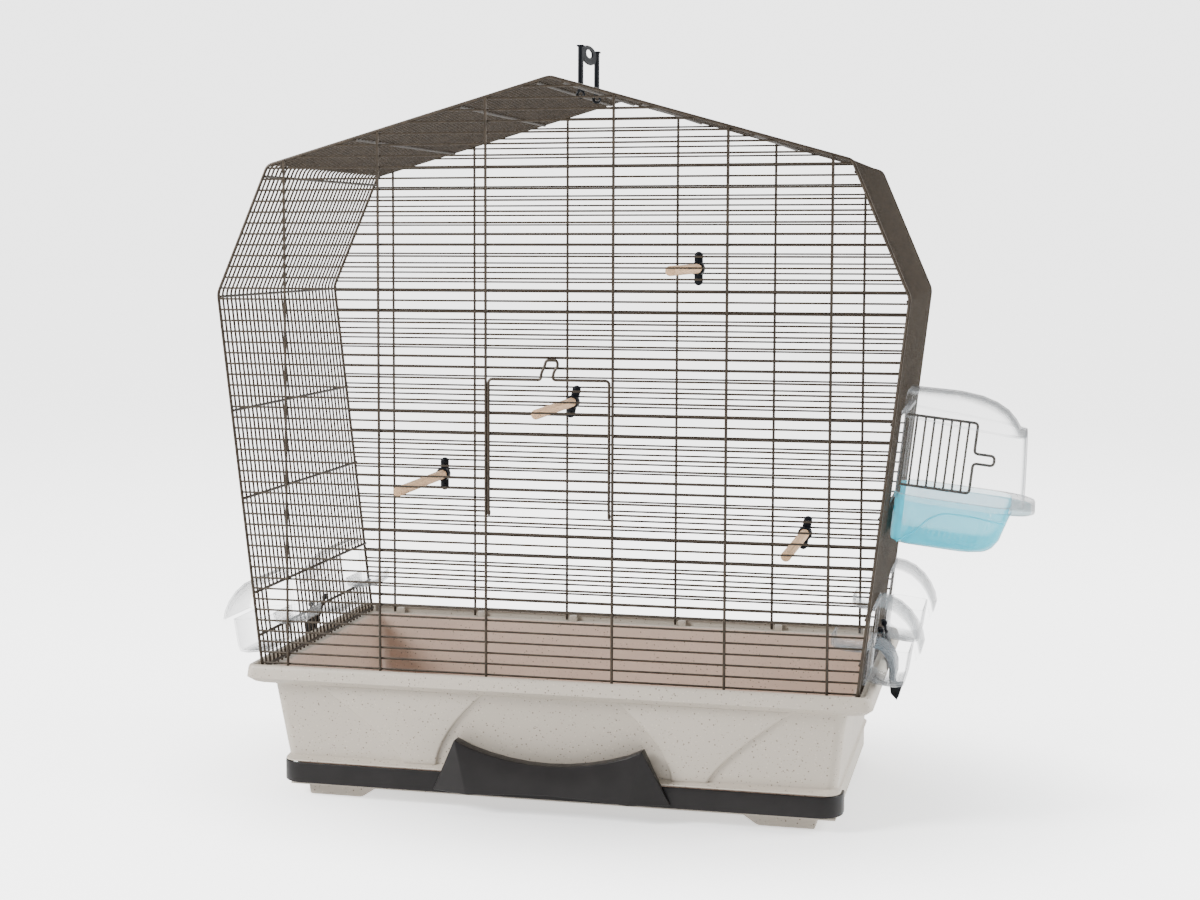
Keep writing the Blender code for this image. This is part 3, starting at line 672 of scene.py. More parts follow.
class BIRDCAGE_OT_wire_top(bpy.types.Operator):
    """Make the hoops, runners, front and rear of the wire top"""

    bl_idname = "birdcage.wire_top"
    bl_label = "Wire Top"

    def execute(self, context):
        wires = context.scene.bird_cage_wires
        coat = finish_of("coated_wire", coated_wire)
        end = PANEL_Y / MM
        step = wires.spacing / MM
        hoops = round(2 * end / step)
        middle = [path for k in range(1, hoops) for path in hoop_paths(-end + step * k)]
        slopes = [f"{part}_grille_{word}"
                  for part in ("wall", "shoulder", "roof") for word in ("left", "right")]
        piece("wire_hoops", wire_mesh(middle, wires.wire_radius), coat, "wire_top", slopes)
        runners = wire_mesh(runner_paths(), wires.runner_radius)
        piece("wire_runners", runners, coat, "wire_top", ["ridge_wire"])
        for sign, word in ((-1, "front"), (1, "rear")):
            doorway = FRONT_DOORWAY if sign < 0 else None
            level = wire_mesh(end_paths(sign * end, step, doorway), wires.wire_radius)
            upright = wire_mesh(column_paths(sign * (end + COLUMN_STAND_OFF)), wires.runner_radius)
            outline = wire_mesh(hoop_paths(sign * end), wires.outline_radius, 2)
            nodes = [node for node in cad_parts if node.startswith(f"{word}_grille")]
            panel = merged([level, upright, outline])
            piece(f"{word}_wires", panel, coat, "wire_top", nodes)
        return {"FINISHED"}


class BIRDCAGE_OT_front_door(bpy.types.Operator):
    """Make the drop-down front door with its catch loop"""

    bl_idname = "birdcage.front_door"
    bl_label = "Front Door"

    def execute(self, context):
        wires = context.scene.bird_cage_wires
        half, low, high, first_row = 66.5, 183.5, 329.0, 197.0
        put = at_end(-PANEL_Y / MM - 3.2)
        loop = [(-8.4, high), (-7.9, 336.0), (-4.0, 344.0), (-2.5, 350.0),
                (9.5, 350.0), (10.5, 344.0), (6.0, 338.0), (4.4, high)]
        outline = [(-half, low - 2), (-half, high), *loop, (half, high), (half, low - 2)]
        frame_path = [put(x, up) for x, up in outline]
        eye = 2.2
        eyes = []
        for side in (-1, 1):
            turns = (2 * pi * i / 12 for i in range(13))
            eyes.append([put(side * half, low + eye * cos(t), eye + eye * sin(t)) for t in turns])
        rows, up = [], first_row
        inner = at_end(-PANEL_Y / MM - 1.2)
        while up < high:
            rows.append([inner(-half, up), inner(half, up)])
            up += wires.spacing / MM
        door = merged([
            wire_mesh([rounded_path(frame_path, 4.5 * MM)], wires.runner_radius, 2),
            wire_mesh(rows, wires.wire_radius),
            wire_mesh(eyes, wires.wire_radius),
        ])
        piece("front_door_wires", door, finish_of("coated_wire", coated_wire), "front_door",
              ["front_door"])
        return {"FINISHED"}


class BIRDCAGE_OT_side_door(bpy.types.Operator):
    """Make the side door, which stands open in the bath's hood"""

    bl_idname = "birdcage.side_door"
    bl_label = "Side Door"

    def execute(self, context):
        wires = context.scene.bird_cage_wires
        put = at_wall(1)
        low, high, near, far = 207.0, 286.3, 4.0, 80.5
        middle = (low + high) / 2
        reach, half = 22.5, 5.5
        catch = [(far, middle - half), (far + reach, middle - half),
                 (far + reach, middle + half), (far, middle + half)]
        outline = [(near, low), (far, low), *catch, (far, high), (near, high)]
        loop = [put(a, u, 0) for a, u in outline]
        count = 8
        bars = []
        for i in range(count):
            a = near + (far - near) * i / count
            bars.append([put(a, low, 1.6), put(a, high, 1.6)])
        spine = [[put(near, low - 1.5, 0), put(near, high + 1.5, 0)]]
        door = merged([
            wire_mesh([rounded_path(loop, 4.5 * MM)], wires.runner_radius, 2),
            wire_mesh(bars + spine, wires.wire_radius * 1.15),
        ])
        piece("side_door_wires", door, finish_of("coated_wire", coated_wire), "side_door",
              ["side_door"])
        return {"FINISHED"}


# The base and its drawer.

# Rings of the tub from the outer foot over the rim to the inner foot: half width, half depth,
# corner radius and height above the floor.
TUB_RINGS = (
    (304.0, 168.0, 14, 41.4), (311.6, 181.6, 16, 41.4), (312.4, 182.6, 16, 42.2),
    (312.2, 182.4, 16, 43.6), (311.0, 178.0, 14, 45.0), (309.8, 173.6, 13, 47.0),
    (311.5, 175.5, 12, 60.0), (320.0, 187.6, 12, 129.0), (323.0, 189.5, 12, 131.5),
    (338.0, 196.5, 12, 133.2), (342.5, 199.8, 12, 134.6), (345.2, 202.6, 12, 137.0),
    (348.3, 205.8, 12, 139.6), (348.1, 205.6, 12, 142.0), (346.8, 204.4, 10.5, 150.0),
    (345.6, 203.2, 9, 152.8), (343.6, 201.4, 7, 154.0), (341.2, 199.8, 6, 154.0),
    (339.8, 198.8, 5.4, 153.0), (339.1, 198.3, 5, 150.0), (338.5, 198.0, 4.5, 144.6),
    (337.5, 197.0, 4.5, 144.0), (326.5, 187.0, 7, 144.0), (323.5, 185.4, 9, 143.0),
    (321.0, 183.4, 13, 139.0),
)


def base_place(a, b, z):
    """A point by its place on the floor's plane and its height above the floor."""
    return Vector((CENTRE_X + a * MM, b * MM, z * MM))


def tub_front(z):
    """How far forward the tub's front wall stands at a height above the floor."""
    return 175.5 + 12.1 * (z - 60.0) / 69.0


def petal_outline(side, steps=14):
    """One petal of the front: narrow at its foot and flared at its head."""
    low, high = 44.5, 133.6

    def edge(start, flare, power):
        shares = [i / steps for i in range(steps + 1)]
        return [(side * (start + flare * share ** power), low + (high - low) * share) for share in shares]

    return edge(132.5, -60.0, 1.7) + edge(171.0, 97.0, 1.3)[::-1]


class BIRDCAGE_OT_base(bpy.types.Operator):
    """Make the moulded base with its rim, petals, skirt and feet"""

    bl_idname = "birdcage.base"
    bl_label = "Base"

    def execute(self, context):
        shell = finish_of("speckled_shell", speckled_shell)
        rings = [ring_of(base_place, (-x, -y), (x, y), r, z, 8) for x, y, r, z in TUB_RINGS]
        mesh = loft_mesh([*rings, rings[0]])
        bmesh.ops.remove_doubles(mesh, verts=mesh.verts, dist=1e-6)
        bmesh.ops.recalc_face_normals(mesh, faces=mesh.faces)
        tub = piece("base_shell", mesh, shell, "base", ["tub"], smooth=40)
        # The inner faces below the ledge get the warmer, pinker shell: painted shade.
        tub.data.materials.append(finish_of("inner_shell", inner_shell))
        for face in tub.data.polygons:
            c = face.center
            below_ledge = c.z < 143.6 * MM
            inside = below_ledge and abs(c.x - CENTRE_X) < 327 * MM and abs(c.y) < 187.4 * MM
            out = Vector(((c.x - CENTRE_X) / 320, c.y / 188, 0.0))
            if inside and face.normal.dot(out) < 0:
                face.material_index = 1

        height = context.scene.bird_cage_base.petal_height / MM
        petals = []
        for side in (-1, 1):
            def on_front(x, z, depth):
                return base_place(x, -tub_front(z) - depth, z)
            petals.append(soften(outline_mesh(petal_outline(side), on_front, -2.0, height), 2.8, 4, 40))
        piece("front_petals", merged(petals), shell, "base", smooth=50)

        lugs = []
        for x in (side * column for side in (-1, 1) for column in COLUMNS):
            for low, high in (((x + 4.0, 190.0, 142.0), (x + 13.0, 196.5, 151.5)),
                              ((x - 13.0, -196.5, 142.0), (x - 4.0, -190.5, 148.0))):
                lugs.append(soften(box_mesh(base_place, low, high), 1.0))
        piece("rim_lugs", merged(lugs), shell, "base")

        skirt = outline_mesh(
            [(-308.3, -167), (308.3, -167), (308.3, 171.3), (-308.3, 171.3)], base_place, 11.2, 14.0)
        wall = outline_mesh(
            [(-309, -144), (-302, -144), (-302, 165), (302, 165),
             (302, -144), (309, -144), (309, 172), (-309, 172)],
            base_place, 11.6, 41.7)
        feet = []
        for sx in (-1, 1):
            for sy in (-1, 1):
                profile = ((288, 13), (286, 0), (226, 0), (222, 1.6), (210, 9.5), (203, 13))
                points = [(sx * x, z) for x, z in profile]
                ys = sorted((sy * 122.0, sy * 164.0))
                foot = outline_mesh(points, lambda a, b, y: base_place(a, y, b), *ys)
                feet.append(soften(foot, 2.2, 3, 30))
        pan = merged([soften(skirt, 1.0), soften(wall, 1.2), *feet])
        piece("base_skirt", pan, shell, "base", ["base_pan"])
        return {"FINISHED"}


def strip_plan(steps=8):
    """The drawer's strip from above: a thin band that turns round both front corners."""
    half, front, back, wall, radius = 315.5, -184.0, -146.0, 3.0, 26.0
    outer, inner = [], []
    for side in (-1, 1):
        for i in range(steps + 1):
            turn = pi / 2 * (i / steps if side < 0 else 1 - i / steps)
            for points, r in ((outer, radius), (inner, radius - wall)):
                points.append((side * (half - radius + r * cos(turn)), front + radius - r * sin(turn)))
    return [*outer, (half, back), (half - wall, back), *inner[::-1], (wall - half, back), (-half, back)]


class BIRDCAGE_OT_drawer(bpy.types.Operator):
    """Make the pull-out tray's front strip and its flared handle"""

    bl_idname = "birdcage.drawer"
    bl_label = "Drawer"

    def execute(self, context):
        dark = finish_of("charcoal_plastic", charcoal_plastic)
        strip = soften(outline_mesh(strip_plan(), base_place, 17.5, 40.6), 0.9, 3, 40)
        piece("drawer_strip", strip, dark, "drawer", ["drawer_front"])

        bottom = [(-133.5, 21.0), (-90.0, 22.5), (-45.0, 26.0), (0.0, 27.5),
                  (45.0, 26.0), (90.0, 22.5), (133.5, 21.0)]
        lowest, rise, reach, count = 59.0, 15.0, 88.0, 8
        shares = [2 * i / count - 1 for i in range(count + 1)]
        dip = [(reach * share, lowest + rise * share ** 2) for share in shares]
        top = [(-104.7, 82.0), *dip, (104.7, 82.0)]
        back = -184.4
        mesh = bmesh.new()

        def front_of(x, z):
            if abs(x) > 120:
                return -186.5
            if z < 45:
                return -204.8
            return -202.1 if abs(x) > 100 else -200.5

        def corner(x, y, z):
            return mesh.verts.new(base_place(x, y, z))

        front_low = [corner(x, front_of(x, z), z) for x, z in bottom]
        front_top = [corner(x, front_of(x, z), z) for x, z in top]
        back_low = [corner(x, back, z) for x, z in bottom]
        back_top = [corner(x, back, z) for x, z in top]
        low_edges = [mesh.edges.new((a, b)) for a, b in zip(front_low[1:-1], front_low[2:-1])]
        top_edges = [mesh.edges.new((a, b)) for a, b in zip(front_top, front_top[1:])]
        bmesh.ops.bridge_loops(mesh, edges=low_edges + top_edges)
        for end in (0, -1):
            mesh.faces.new((front_low[end], front_low[1 if end == 0 else -2], front_top[end]))
            mesh.faces.new((front_low[end], front_top[end], back_top[end], back_low[end]))
        for near, far in ((front_low, back_low), (front_top, back_top)):
            for i in range(len(near) - 1):
                mesh.faces.new((near[i], near[i + 1], far[i + 1], far[i]))
        mesh.faces.new([*back_low, *back_top[::-1]])
        bmesh.ops.recalc_face_normals(mesh, faces=mesh.faces)
        soften(mesh, 1.5, 3, 28)
        piece("drawer_grip", mesh, dark, "drawer", ["drawer_handle"], smooth=30)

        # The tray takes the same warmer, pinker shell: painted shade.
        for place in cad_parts["drawer_tray"].material_slots:
            place.material = finish_of("inner_shell", inner_shell)
        return {"FINISHED"}


# Perches.

def capsule(radius, half_length, steps=8):
    """A straight bar's outline with round ends."""
    points = []
    for side in (1, -1):
        for i in range(steps + 1):
            turn = pi * i / steps + (0.0 if side > 0 else pi)
            points.append((radius * cos(turn), side * (half_length - radius) + radius * sin(turn)))
    return points


class BIRDCAGE_OT_perches(bpy.types.Operator):
    """Make the four dowels and the holders that clip them to the rear wires"""

    bl_idname = "birdcage.perches"
    bl_label = "Perches"

    def execute(self, context):
        wood = finish_of("dowel_wood", dowel_wood)
        black = finish_of("black_plastic", black_plastic)
        rear = PANEL_Y / MM
        for number, (x, up, turned) in enumerate(PERCHES, 1):
            angle = radians(turned)

            def put(a, b, y, x=x, up=up, angle=angle):
                flat = (a * cos(angle) + b * sin(angle), -a * sin(angle) + b * cos(angle))
                return Vector((CENTRE_X + (x + flat[0]) * MM, y * MM, RIM_Z + (up + flat[1]) * MM))

            front = rear - 6.5
            plate = soften(outline_mesh(capsule(5.2, 21.0), put, front, front + 5.0), 1.2, 3, 40)
            lock = soften(outline_mesh(capsule(4.4, 7.4), put, rear + 1.5, rear + 5.0), 1.0, 3, 40)
            neck = bar_mesh(put(0, 0, front + 4), put(0, 0, rear + 2), 3.8 * MM)
            cup = soften(bar_mesh(put(0, 0, front - 10), put(0, 0, front + 1), 8.6 * MM, 28), 1.2, 3, 40)
            knobs = []
            for b in (-15.5, 15.5):
                knob = bar_mesh(put(0, b, front - 2.2), put(0, b, front + 1), 3.4 * MM)
                knobs.append(soften(knob, 0.8, 2, 40))
            holder = merged([plate, lock, neck, cup, *knobs])
            body = f"perch_{number}"
            piece(f"holder_{number}", holder, black, body, [f"perch_holder_{number}"])
            dowel = soften(bar_mesh(put(0, 0, front - 195), put(0, 0, front - 8.8), 5.9 * MM, 32), 0.7, 3, 40)
            piece(f"dowel_{number}", dowel, wood, body, [f"perch_dowel_{number}"])
        return {"FINISHED"}


# The bath.

class BIRDCAGE_OT_bath(bpy.types.Operator):
    """Make the blue bath tub, its ribbed floor and the domed clear hood"""

    bl_idname = "birdcage.bath"
    bl_label = "Bath"

    def execute(self, context):
        blue = finish_of("blue_plastic", blue_plastic)
        clear = finish_of("clear_plastic", clear_plastic)
        wall = context.scene.bird_cage_fittings.wall / MM
        put = at_wall(1)
        front, rear = BATH_Y

        def place(a, b, up):
            return put(a, up, b)

        def rings_of(levels):
            return [ring_of(place, (a, front + g), (b, rear - g), r, up, 7) for a, b, r, g, up in levels]

        # Each level: nearest and furthest from the wall, corner radius, gap at the ends, height.
        outer = [(9.0, 98.0, 22.0, 13.0, 157.0), (6.0, 108.0, 24.0, 10.0, 159.0),
                 (5.2, 114.0, 25.0, 9.0, 163.0), (5.0, 120.0, 26.0, 8.0, 172.0),
                 (5.0, 125.0, 27.0, 7.0, 190.0), (5.0, 129.0, 28.0, 6.0, 203.4)]
        lip = [(3.2, 149.0, 34.0, 1.2, 204.0), (3.0, 152.6, 36.0, 0.4, 205.6), (3.0, 153.0, 36.0, 0.0, 207.4),
               (3.2, 151.8, 35.0, 0.8, 209.4), (3.8, 149.5, 34.0, 2.0, 210.0)]
        inner = [(a + wall, b - wall, r - 1, g + wall, up + (wall if up < 170 else 0))
                 for a, b, r, g, up in outer]
        inner[-1] = (*inner[-1][:4], lip[-1][-1])
        skin = cap_ends(loft_mesh(rings_of([*outer, *lip, *inner[::-1]])))
        tub = piece("bath_basin", skin, blue, "bath", ["bath_tub"], smooth=45)
        cut(tub, box_mesh(put, (-6.0, 188.0, -90.0), (9.5, 220.0, 9.0)))

        tub.data.materials.append(clear)
        normal_up = put(0, 1, 0) - put(0, 0, 0)
        lip_height = put(0, 203.8, 0).dot(normal_up)
        for face in tub.data.polygons:
            if face.center.dot(normal_up) > lip_height:
                face.material_index = 1

        ribs = []
        for i in range(13):
            a = 20.0 + 6.0 * i
            ribs.append(soften(box_mesh(put, (a, 158.6, front + 40), (a + 3.4, 160.6, rear - 40)), 0.6))
        piece("bath_ribs", merged(ribs), finish_of("deep_blue", deep_blue), "bath")
        line = [(14.0, 159.0), (32.0, 172.0), (44.0, 188.0), (58.0, 196.0), (84.0, 197.0), (124.0, 193.0)]
        points = [put(a, u, front + 8.4 - (u - 157) * 0.035) for a, u in line]
        scroll = wire_mesh([rounded_path(points, 14 * MM, 6)], 0.9 * MM, 2)
        piece("bath_scroll", scroll, blue, "bath")

        # Each level: reach from the wall, gap at the ends, corner radius, height, rise at the wall.
        levels = [(141.0, 3.0, 30.0, 210.6, 0.0), (140.0, 3.4, 30.0, 226.0, 1.0),
                  (138.0, 4.0, 30.0, 250.0, 3.0), (136.0, 4.8, 30.0, 272.0, 5.0),
                  (134.8, 6.0, 29.0, 283.5, 8.0), (133.4, 7.0, 28.0, 286.4, 8.0),
                  (128.5, 10.5, 26.0, 287.0, 8.0), (126.0, 12.0, 26.0, 289.6, 8.0),
                  (121.0, 16.0, 26.0, 297.0, 7.0), (112.0, 21.0, 27.0, 306.0, 5.0),
                  (99.0, 28.0, 27.0, 313.5, 2.0), (84.0, 36.0, 24.0, 318.3, 0.0),
                  (66.0, 46.0, 18.0, 320.8, -1.5), (48.0, 56.0, 12.0, 321.4, -2.0)]
        crease_level = 5
        skins = []
        for reach, inset, radius, up, lean in levels:
            ring = [place(4.0, front + inset, up + lean)]
            for sign in (-1, 1):
                b = (front + inset + radius) if sign < 0 else (rear - inset - radius)
                for i in range(8):
                    turn = pi / 2 * i / 7
                    turn = turn if sign < 0 else pi / 2 - turn
                    a = reach - radius + radius * sin(turn)
                    ring.append(place(a, b + sign * radius * cos(turn), up + lean * (1 - a / reach)))
            ring.append(place(4.0, rear - inset, up + lean))
            skins.append(ring)
        dome = loft_mesh(skins, closed=False)
        dome.verts.ensure_lookup_table()
        dome.faces.new(dome.verts[-len(skins[-1]):])
        thicken(dome, wall * MM)
        piece("bath_dome", dome, clear, "bath", ["bath_hood"], smooth=50)
        bead = wire_mesh([skins[crease_level]], 0.9 * MM, 2)
        piece("bath_bead", bead, clear, "bath")
        collar = []
        for low, high in ((front + 3, front + 7), (rear - 6, rear - 2)):
            collar.append(soften(box_mesh(put, (2.2, 211.0, low), (7.0, 300.0, high)), 0.8))
        collar.append(soften(box_mesh(put, (2.2, 296.0, front + 6), (8.0, 300.0, rear - 5)), 0.8))
        piece("bath_collar", merged(collar), clear, "bath")
        return {"FINISHED"}


# Feeders.

class BIRDCAGE_OT_feeders(bpy.types.Operator):
    """Make the four clear feeders: frame, cup, hood, scoop and inner chute"""

    bl_idname = "birdcage.feeders"
    bl_label = "Feeders"

    def execute(self, context):
        clear = finish_of("clear_plastic", clear_plastic)
        grey = finish_of("grey_plastic", grey_plastic)
        wall = context.scene.bird_cage_fittings.wall / MM
        for side, word in ((-1, "left"), (1, "right")):
            put = at_wall(side)
            for (low, high), end in zip(FEEDER_WINDOWS, ("front", "rear")):
                middle, which = (low + high) / 2, f"{word}_{end}"
                self.make_one(put, middle, which, clear, wall)
                if which == "right_front":
                    self.make_chute(put, middle, which, grey)
        return {"FINISHED"}

    def make_one(self, put, middle, which, clear, wall):
        """One feeder without its chute."""
        body = f"feeder_{which}"

        def place(a, b, up):
            return put(a, up, middle + b)

        half = 43.5

        def rings_of(levels):
            return [ring_of(place, (a, g - half), (b, half - g), min(r, (b - a) / 2 - 1), up, 5)
                    for a, b, r, g, up in levels]

        # Each level: nearest and furthest from the wall, corner radius, gap at the ends, height.
        outer = [(8.0, 38.0, 8.0, 6.0, 9.8), (4.0, 43.0, 8.0, 2.5, 12.0),
                 (3.2, 44.5, 8.0, 1.2, 18.0), (3.0, 45.8, 8.0, 0.0, 49.8)]
        inner = [(a + wall, b - wall, r - 1.2, g + wall, up + (wall if up < 15 else 0))
                 for a, b, r, g, up in outer]
        cup = cap_ends(loft_mesh(rings_of([*outer, *inner[::-1]])))
        piece(f"cup_{which}", cup, clear, body, [f"feeder_cup_{which}"], smooth=45)

        arch = [(3.2, 95.6), (15.0, 94.4), (27.0, 90.2), (38.5, 82.2), (47.5, 72.0), (54.0, 61.0), (57.0, 51.0)]
        side = [(-44.0, 7.0), (-43.2, 2.5), (-41.0, 0.6), (-37.0, 0.0)]
        skins = []
        for b, drop in (*side, *((-b, drop) for b, drop in side[::-1])):
            skins.append([place(a - drop * 0.5 * (a > 10), b, up - drop) for a, up in arch])
        hood = thicken(loft_mesh(skins, closed=False), wall * MM)
        piece(f"hood_{which}", hood, clear, body, [f"feeder_hood_{which}"], smooth=50)

        bars = []
        for low, high in (((-45.0, 8.0), (-40.0, 92.0)), ((40.0, 8.0), (45.0, 92.0)),
                          ((-41.0, 88.0), (41.0, 92.0)), ((-41.0, 8.0), (41.0, 11.0))):
            bars.append(soften(box_mesh(place, (1.6, *low), (4.4, *high)), 0.6))
        for b in (-30.0, 30.0):
            hook = [place(3.4, b, 90.0), place(3.0, b, 96.5), place(-1.5, b, 97.0), place(-2.0, b, 90.5)]
            bars.append(wire_mesh([rounded_path(hook, 2.5 * MM)], 1.5 * MM, 2))
        piece(f"frame_{which}", merged(bars), clear, body)

        bowl = ((-36.0, -2.0, 14.0, 31.0, 39.0), (-39.0, 1.6, 15.0, 34.0, 41.5),
                (-39.6, 2.4, 15.0, 36.0, 51.6), (-38.0, 0.8, 14.0, 34.4, 51.6),
                (-37.2, 0.0, 14.0, 32.4, 42.4), (-34.8, -3.0, 12.5, 29.6, 40.8))
        shape = [ring_of(place, (a, -g), (b, g), r, up, 6) for a, b, r, g, up in bowl]
        piece(f"scoop_{which}", cap_ends(loft_mesh(shape)), clear, body,
              [f"feeder_scoop_{which}"], smooth=45)

    def make_chute(self, put, middle, which, grey):
        """The grey slide in one feeder's cup."""
        curve = [(6.2, 47.0), (14.0, 45.5), (22.0, 38.0), (27.5, 27.0), (29.0, 14.0)]
        back = [(a + 4.6 * (0.4 + 0.6 * (u < 44)), u + 1.2) for a, u in curve]
        chute = soften(outline_mesh([*curve, *back[::-1]], put, middle - 30.0, middle + 30.0), 0.7, 2, 30)
        piece(f"chute_{which}", chute, grey, f"feeder_{which}")


# Latches and hanger.

class BIRDCAGE_OT_latches(bpy.types.Operator):
    """Make the two latches that hang from a side wire over the base's rim"""

    bl_idname = "birdcage.latches"
    bl_label = "Latches"

    def execute(self, context):
        black = finish_of("black_plastic", black_plastic)
        profile = [(343.2, 31.0), (349.8, 5.5), (350.0, -18.0), (352.0, -35.0), (359.2, -42.5),
                   (364.8, -26.5), (356.5, -27.5), (354.2, -17.0), (353.2, 6.5), (346.4, 32.0)]
        for side, word in ((-1, "left"), (1, "right")):
            def put(a, b, y, side=side):
                return Vector((CENTRE_X + side * a * MM, y * MM, RIM_Z + b * MM))
            plate = outline_mesh(profile, put, 2.0, 34.0)
            parts = [soften(plate, 0.9, 2, 20)]
            for y in (-6.0, 42.0):
                arm = [put(337.6, 40.6, y), put(341.2, 41.5, y), put(345.0, 22.0, y * 0.75 + 4.5),
                       put(350.5, 2.0, y * 0.5 + 9.0)]
                parts.append(wire_mesh([rounded_path(arm, 4 * MM)], 1.8 * MM, 2))
                eye = bar_mesh(put(341.2, 38.5, y - 4), put(341.2, 38.5, y + 4), 3.2 * MM)
                parts.append(soften(eye, 0.6, 2, 40))
            bar = bar_mesh(put(359.0, -36.5, -0.5), put(359.0, -36.5, 36.5), 2.6 * MM)
            parts.append(soften(bar, 0.7, 2, 40))
            piece(f"latch_clip_{word}", merged(parts), black, f"latch_{word}",
                  [f"base_latch_{word}"])
        return {"FINISHED"}


def oval(half_a, half_b, middle, sides):
    """The points of an ellipse."""
    turns = [2 * pi * i / sides for i in range(sides)]
    return [(middle[0] + half_a * cos(t), middle[1] + half_b * sin(t)) for t in turns]


class BIRDCAGE_OT_hanger(bpy.types.Operator):
    """Make the hanger: two capped straps clipped to the ridge wire, and the ring between them"""

    bl_idname = "birdcage.hanger"
    bl_label = "Hanger"

    def execute(self, context):
        black = finish_of("black_plastic", black_plastic)

        def put(x, y, up):
            return Vector((CENTRE_X + x * MM, y * MM, RIM_Z + up * MM))

        wire_up, top = 642.5, 696.0
        for sign, word in ((-1, "front"), (1, "rear")):
            y = sign * 42.5
            parts = [soften(box_mesh(put, (-2.3, y - 5.0, wire_up + 3), (2.3, y + 5.0, top)), 0.8),
                     soften(box_mesh(put, (-3.8, y - 5.0, top - 0.4), (3.8, y + 5.0, top + 1.6)), 0.5)]
            ring = [put(3.9 * cos(t), y, wire_up + 3.9 * sin(t)) for t in (2 * pi * i / 24 for i in range(25))]
            parts.append(wire_mesh([ring], 1.5 * MM, 3))
            piece(f"strap_{word}", merged(parts), black, "hanger", [f"hanger_strap_{word}"])

        def face(a, b, x):
            return put(x, a, b)

        shape = outline_mesh(oval(36.5, 10.4, (0.0, 689.5), 48), face, -1.1, 1.1)
        plate = piece("ring_plate", shape, black, "hanger", ["hanger_ring"])
        cut(plate, outline_mesh(oval(18.5, 5.6, (0.0, 691.3), 40), face, -4.0, 4.0))
        rims = []
        for half_a, half_b, middle, radius in ((36.2, 9.6, 689.5, 1.5), (18.6, 5.8, 691.3, 1.3)):
            loop = [face(a, b, 0.0) for a, b in oval(half_a, half_b, (0.0, middle), 48)]
            rims.append(wire_mesh([[*loop, loop[0]]], radius * MM, 2))
        piece("ring_rims", merged(rims), black, "hanger")
        return {"FINISHED"}


# The stage.

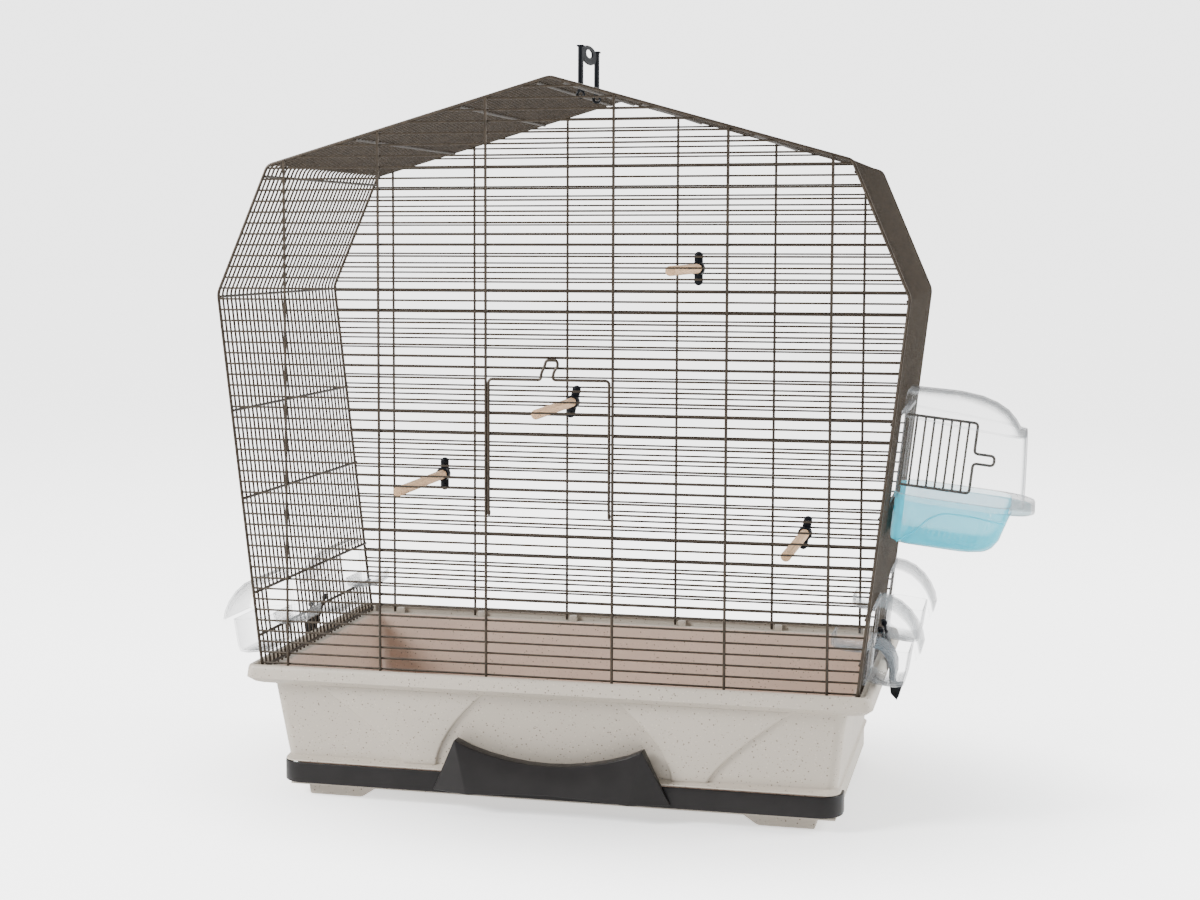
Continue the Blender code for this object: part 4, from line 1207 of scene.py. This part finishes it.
class BIRDCAGE_OT_stage(bpy.types.Operator):
    """Make the floor, the lights and the camera"""

    bl_idname = "birdcage.stage"
    bl_label = "Stage"

    def execute(self, context):
        stage = context.scene.bird_cage_stage
        mesh = bmesh.new()
        bmesh.ops.create_circle(mesh, cap_ends=True, segments=stage.sides, radius=FLOOR_RADIUS)
        bmesh.ops.translate(mesh, vec=(0.0, 0.0, -FLOOR_GAP), verts=mesh.verts)
        data = bpy.data.meshes.new("floor")
        mesh.to_mesh(data)
        mesh.free()
        floor = bpy.data.objects.new("floor", data)
        data.materials.append(finish_of("floor_paper", floor_paper))
        context.scene.collection.objects.link(floor)
        floor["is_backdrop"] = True

        world = bpy.data.worlds.new("studio")
        world.use_nodes = True
        nodes, links = world.node_tree.nodes, world.node_tree.links
        around = nodes["Background"]
        around.inputs["Color"].default_value = (1.0, 1.0, 1.0, 1.0)
        around.inputs["Strength"].default_value = WORLD_GLOW
        seen = nodes.new("ShaderNodeBackground")
        seen.inputs["Color"].default_value = (1.0, 1.0, 1.0, 1.0)
        seen.inputs["Strength"].default_value = BACKDROP_GLOW
        choice = nodes.new("ShaderNodeMixShader")
        links.new(nodes.new("ShaderNodeLightPath").outputs["Is Camera Ray"], choice.inputs["Fac"])
        links.new(around.outputs["Background"], choice.inputs[1])
        links.new(seen.outputs["Background"], choice.inputs[2])
        links.new(choice.outputs["Shader"], nodes["World Output"].inputs["Surface"])
        context.scene.world = world

        for name, place, size, power in LIGHTS:
            lamp = bpy.data.lights.new(name, "AREA")
            lamp.size = size
            lamp.energy = power
            holder = bpy.data.objects.new(name, lamp)
            holder.location = place
            aim = Vector((CENTRE_X, 0.0, LIGHTS_AIM)) - holder.location
            holder.rotation_euler = aim.to_track_quat("-Z", "Y").to_euler()
            context.scene.collection.objects.link(holder)

        lens = bpy.data.cameras.new("camera")
        lens.lens = stage.lens
        lens.sensor_width = 36.0
        lens.shift_x, lens.shift_y = CAMERA_SHIFT
        lens.clip_end = 100.0
        camera = bpy.data.objects.new("camera", lens)
        camera.location = Vector((CENTRE_X, 0.0, RIM_Z)) + Vector(CAMERA_PLACE)
        camera.rotation_euler = (pi / 2 - stage.tip, 0.0, stage.turn)
        context.scene.collection.objects.link(camera)
        context.scene.camera = camera
        return {"FINISHED"}


class BIRDCAGE_PT_panel(bpy.types.Panel):
    """Lists the operators that build the cage"""

    bl_idname = "BIRDCAGE_PT_panel"
    bl_label = "Bird Cage"
    bl_space_type = "VIEW_3D"
    bl_region_type = "UI"
    bl_category = "Bird Cage"

    def draw(self, context):
        for settings in SETTINGS:
            box = self.layout.box()
            group = getattr(context.scene, settings)
            for name in group.bl_rna.properties.keys():
                if name not in ("rna_type", "name"):
                    box.prop(group, name)
        for operator in OPERATORS:
            self.layout.operator(operator.bl_idname)


SETTINGS = {
    "bird_cage_wires": BirdCageWires,
    "bird_cage_base": BirdCageBase,
    "bird_cage_fittings": BirdCageFittings,
    "bird_cage_stage": BirdCageStage,
}
OPERATORS = (
    BIRDCAGE_OT_wire_top,
    BIRDCAGE_OT_front_door,
    BIRDCAGE_OT_side_door,
    BIRDCAGE_OT_base,
    BIRDCAGE_OT_drawer,
    BIRDCAGE_OT_perches,
    BIRDCAGE_OT_bath,
    BIRDCAGE_OT_feeders,
    BIRDCAGE_OT_latches,
    BIRDCAGE_OT_hanger,
    BIRDCAGE_OT_stage,
)


def register():
    """Adds the settings, operators and panel."""
    for made in (*SETTINGS.values(), *OPERATORS, BIRDCAGE_PT_panel):
        bpy.utils.register_class(made)
    for name, settings in SETTINGS.items():
        setattr(bpy.types.Scene, name, PointerProperty(type=settings))


def unregister():
    """Takes them away again."""
    for name in SETTINGS:
        delattr(bpy.types.Scene, name)
    for made in (BIRDCAGE_PT_panel, *OPERATORS[::-1], *list(SETTINGS.values())[::-1]):
        bpy.utils.unregister_class(made)


def main():
    """Runs every operator."""
    register()
    for operator in OPERATORS:
        group, name = operator.bl_idname.split(".")
        getattr(getattr(bpy.ops, group), name)()
    boxes = {"cad": CAD_BOX, "visual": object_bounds()}
    {name: [[float(c) for c in corner] for corner in box] for name, box in boxes.items()}


if __name__ == "__main__":
    main()
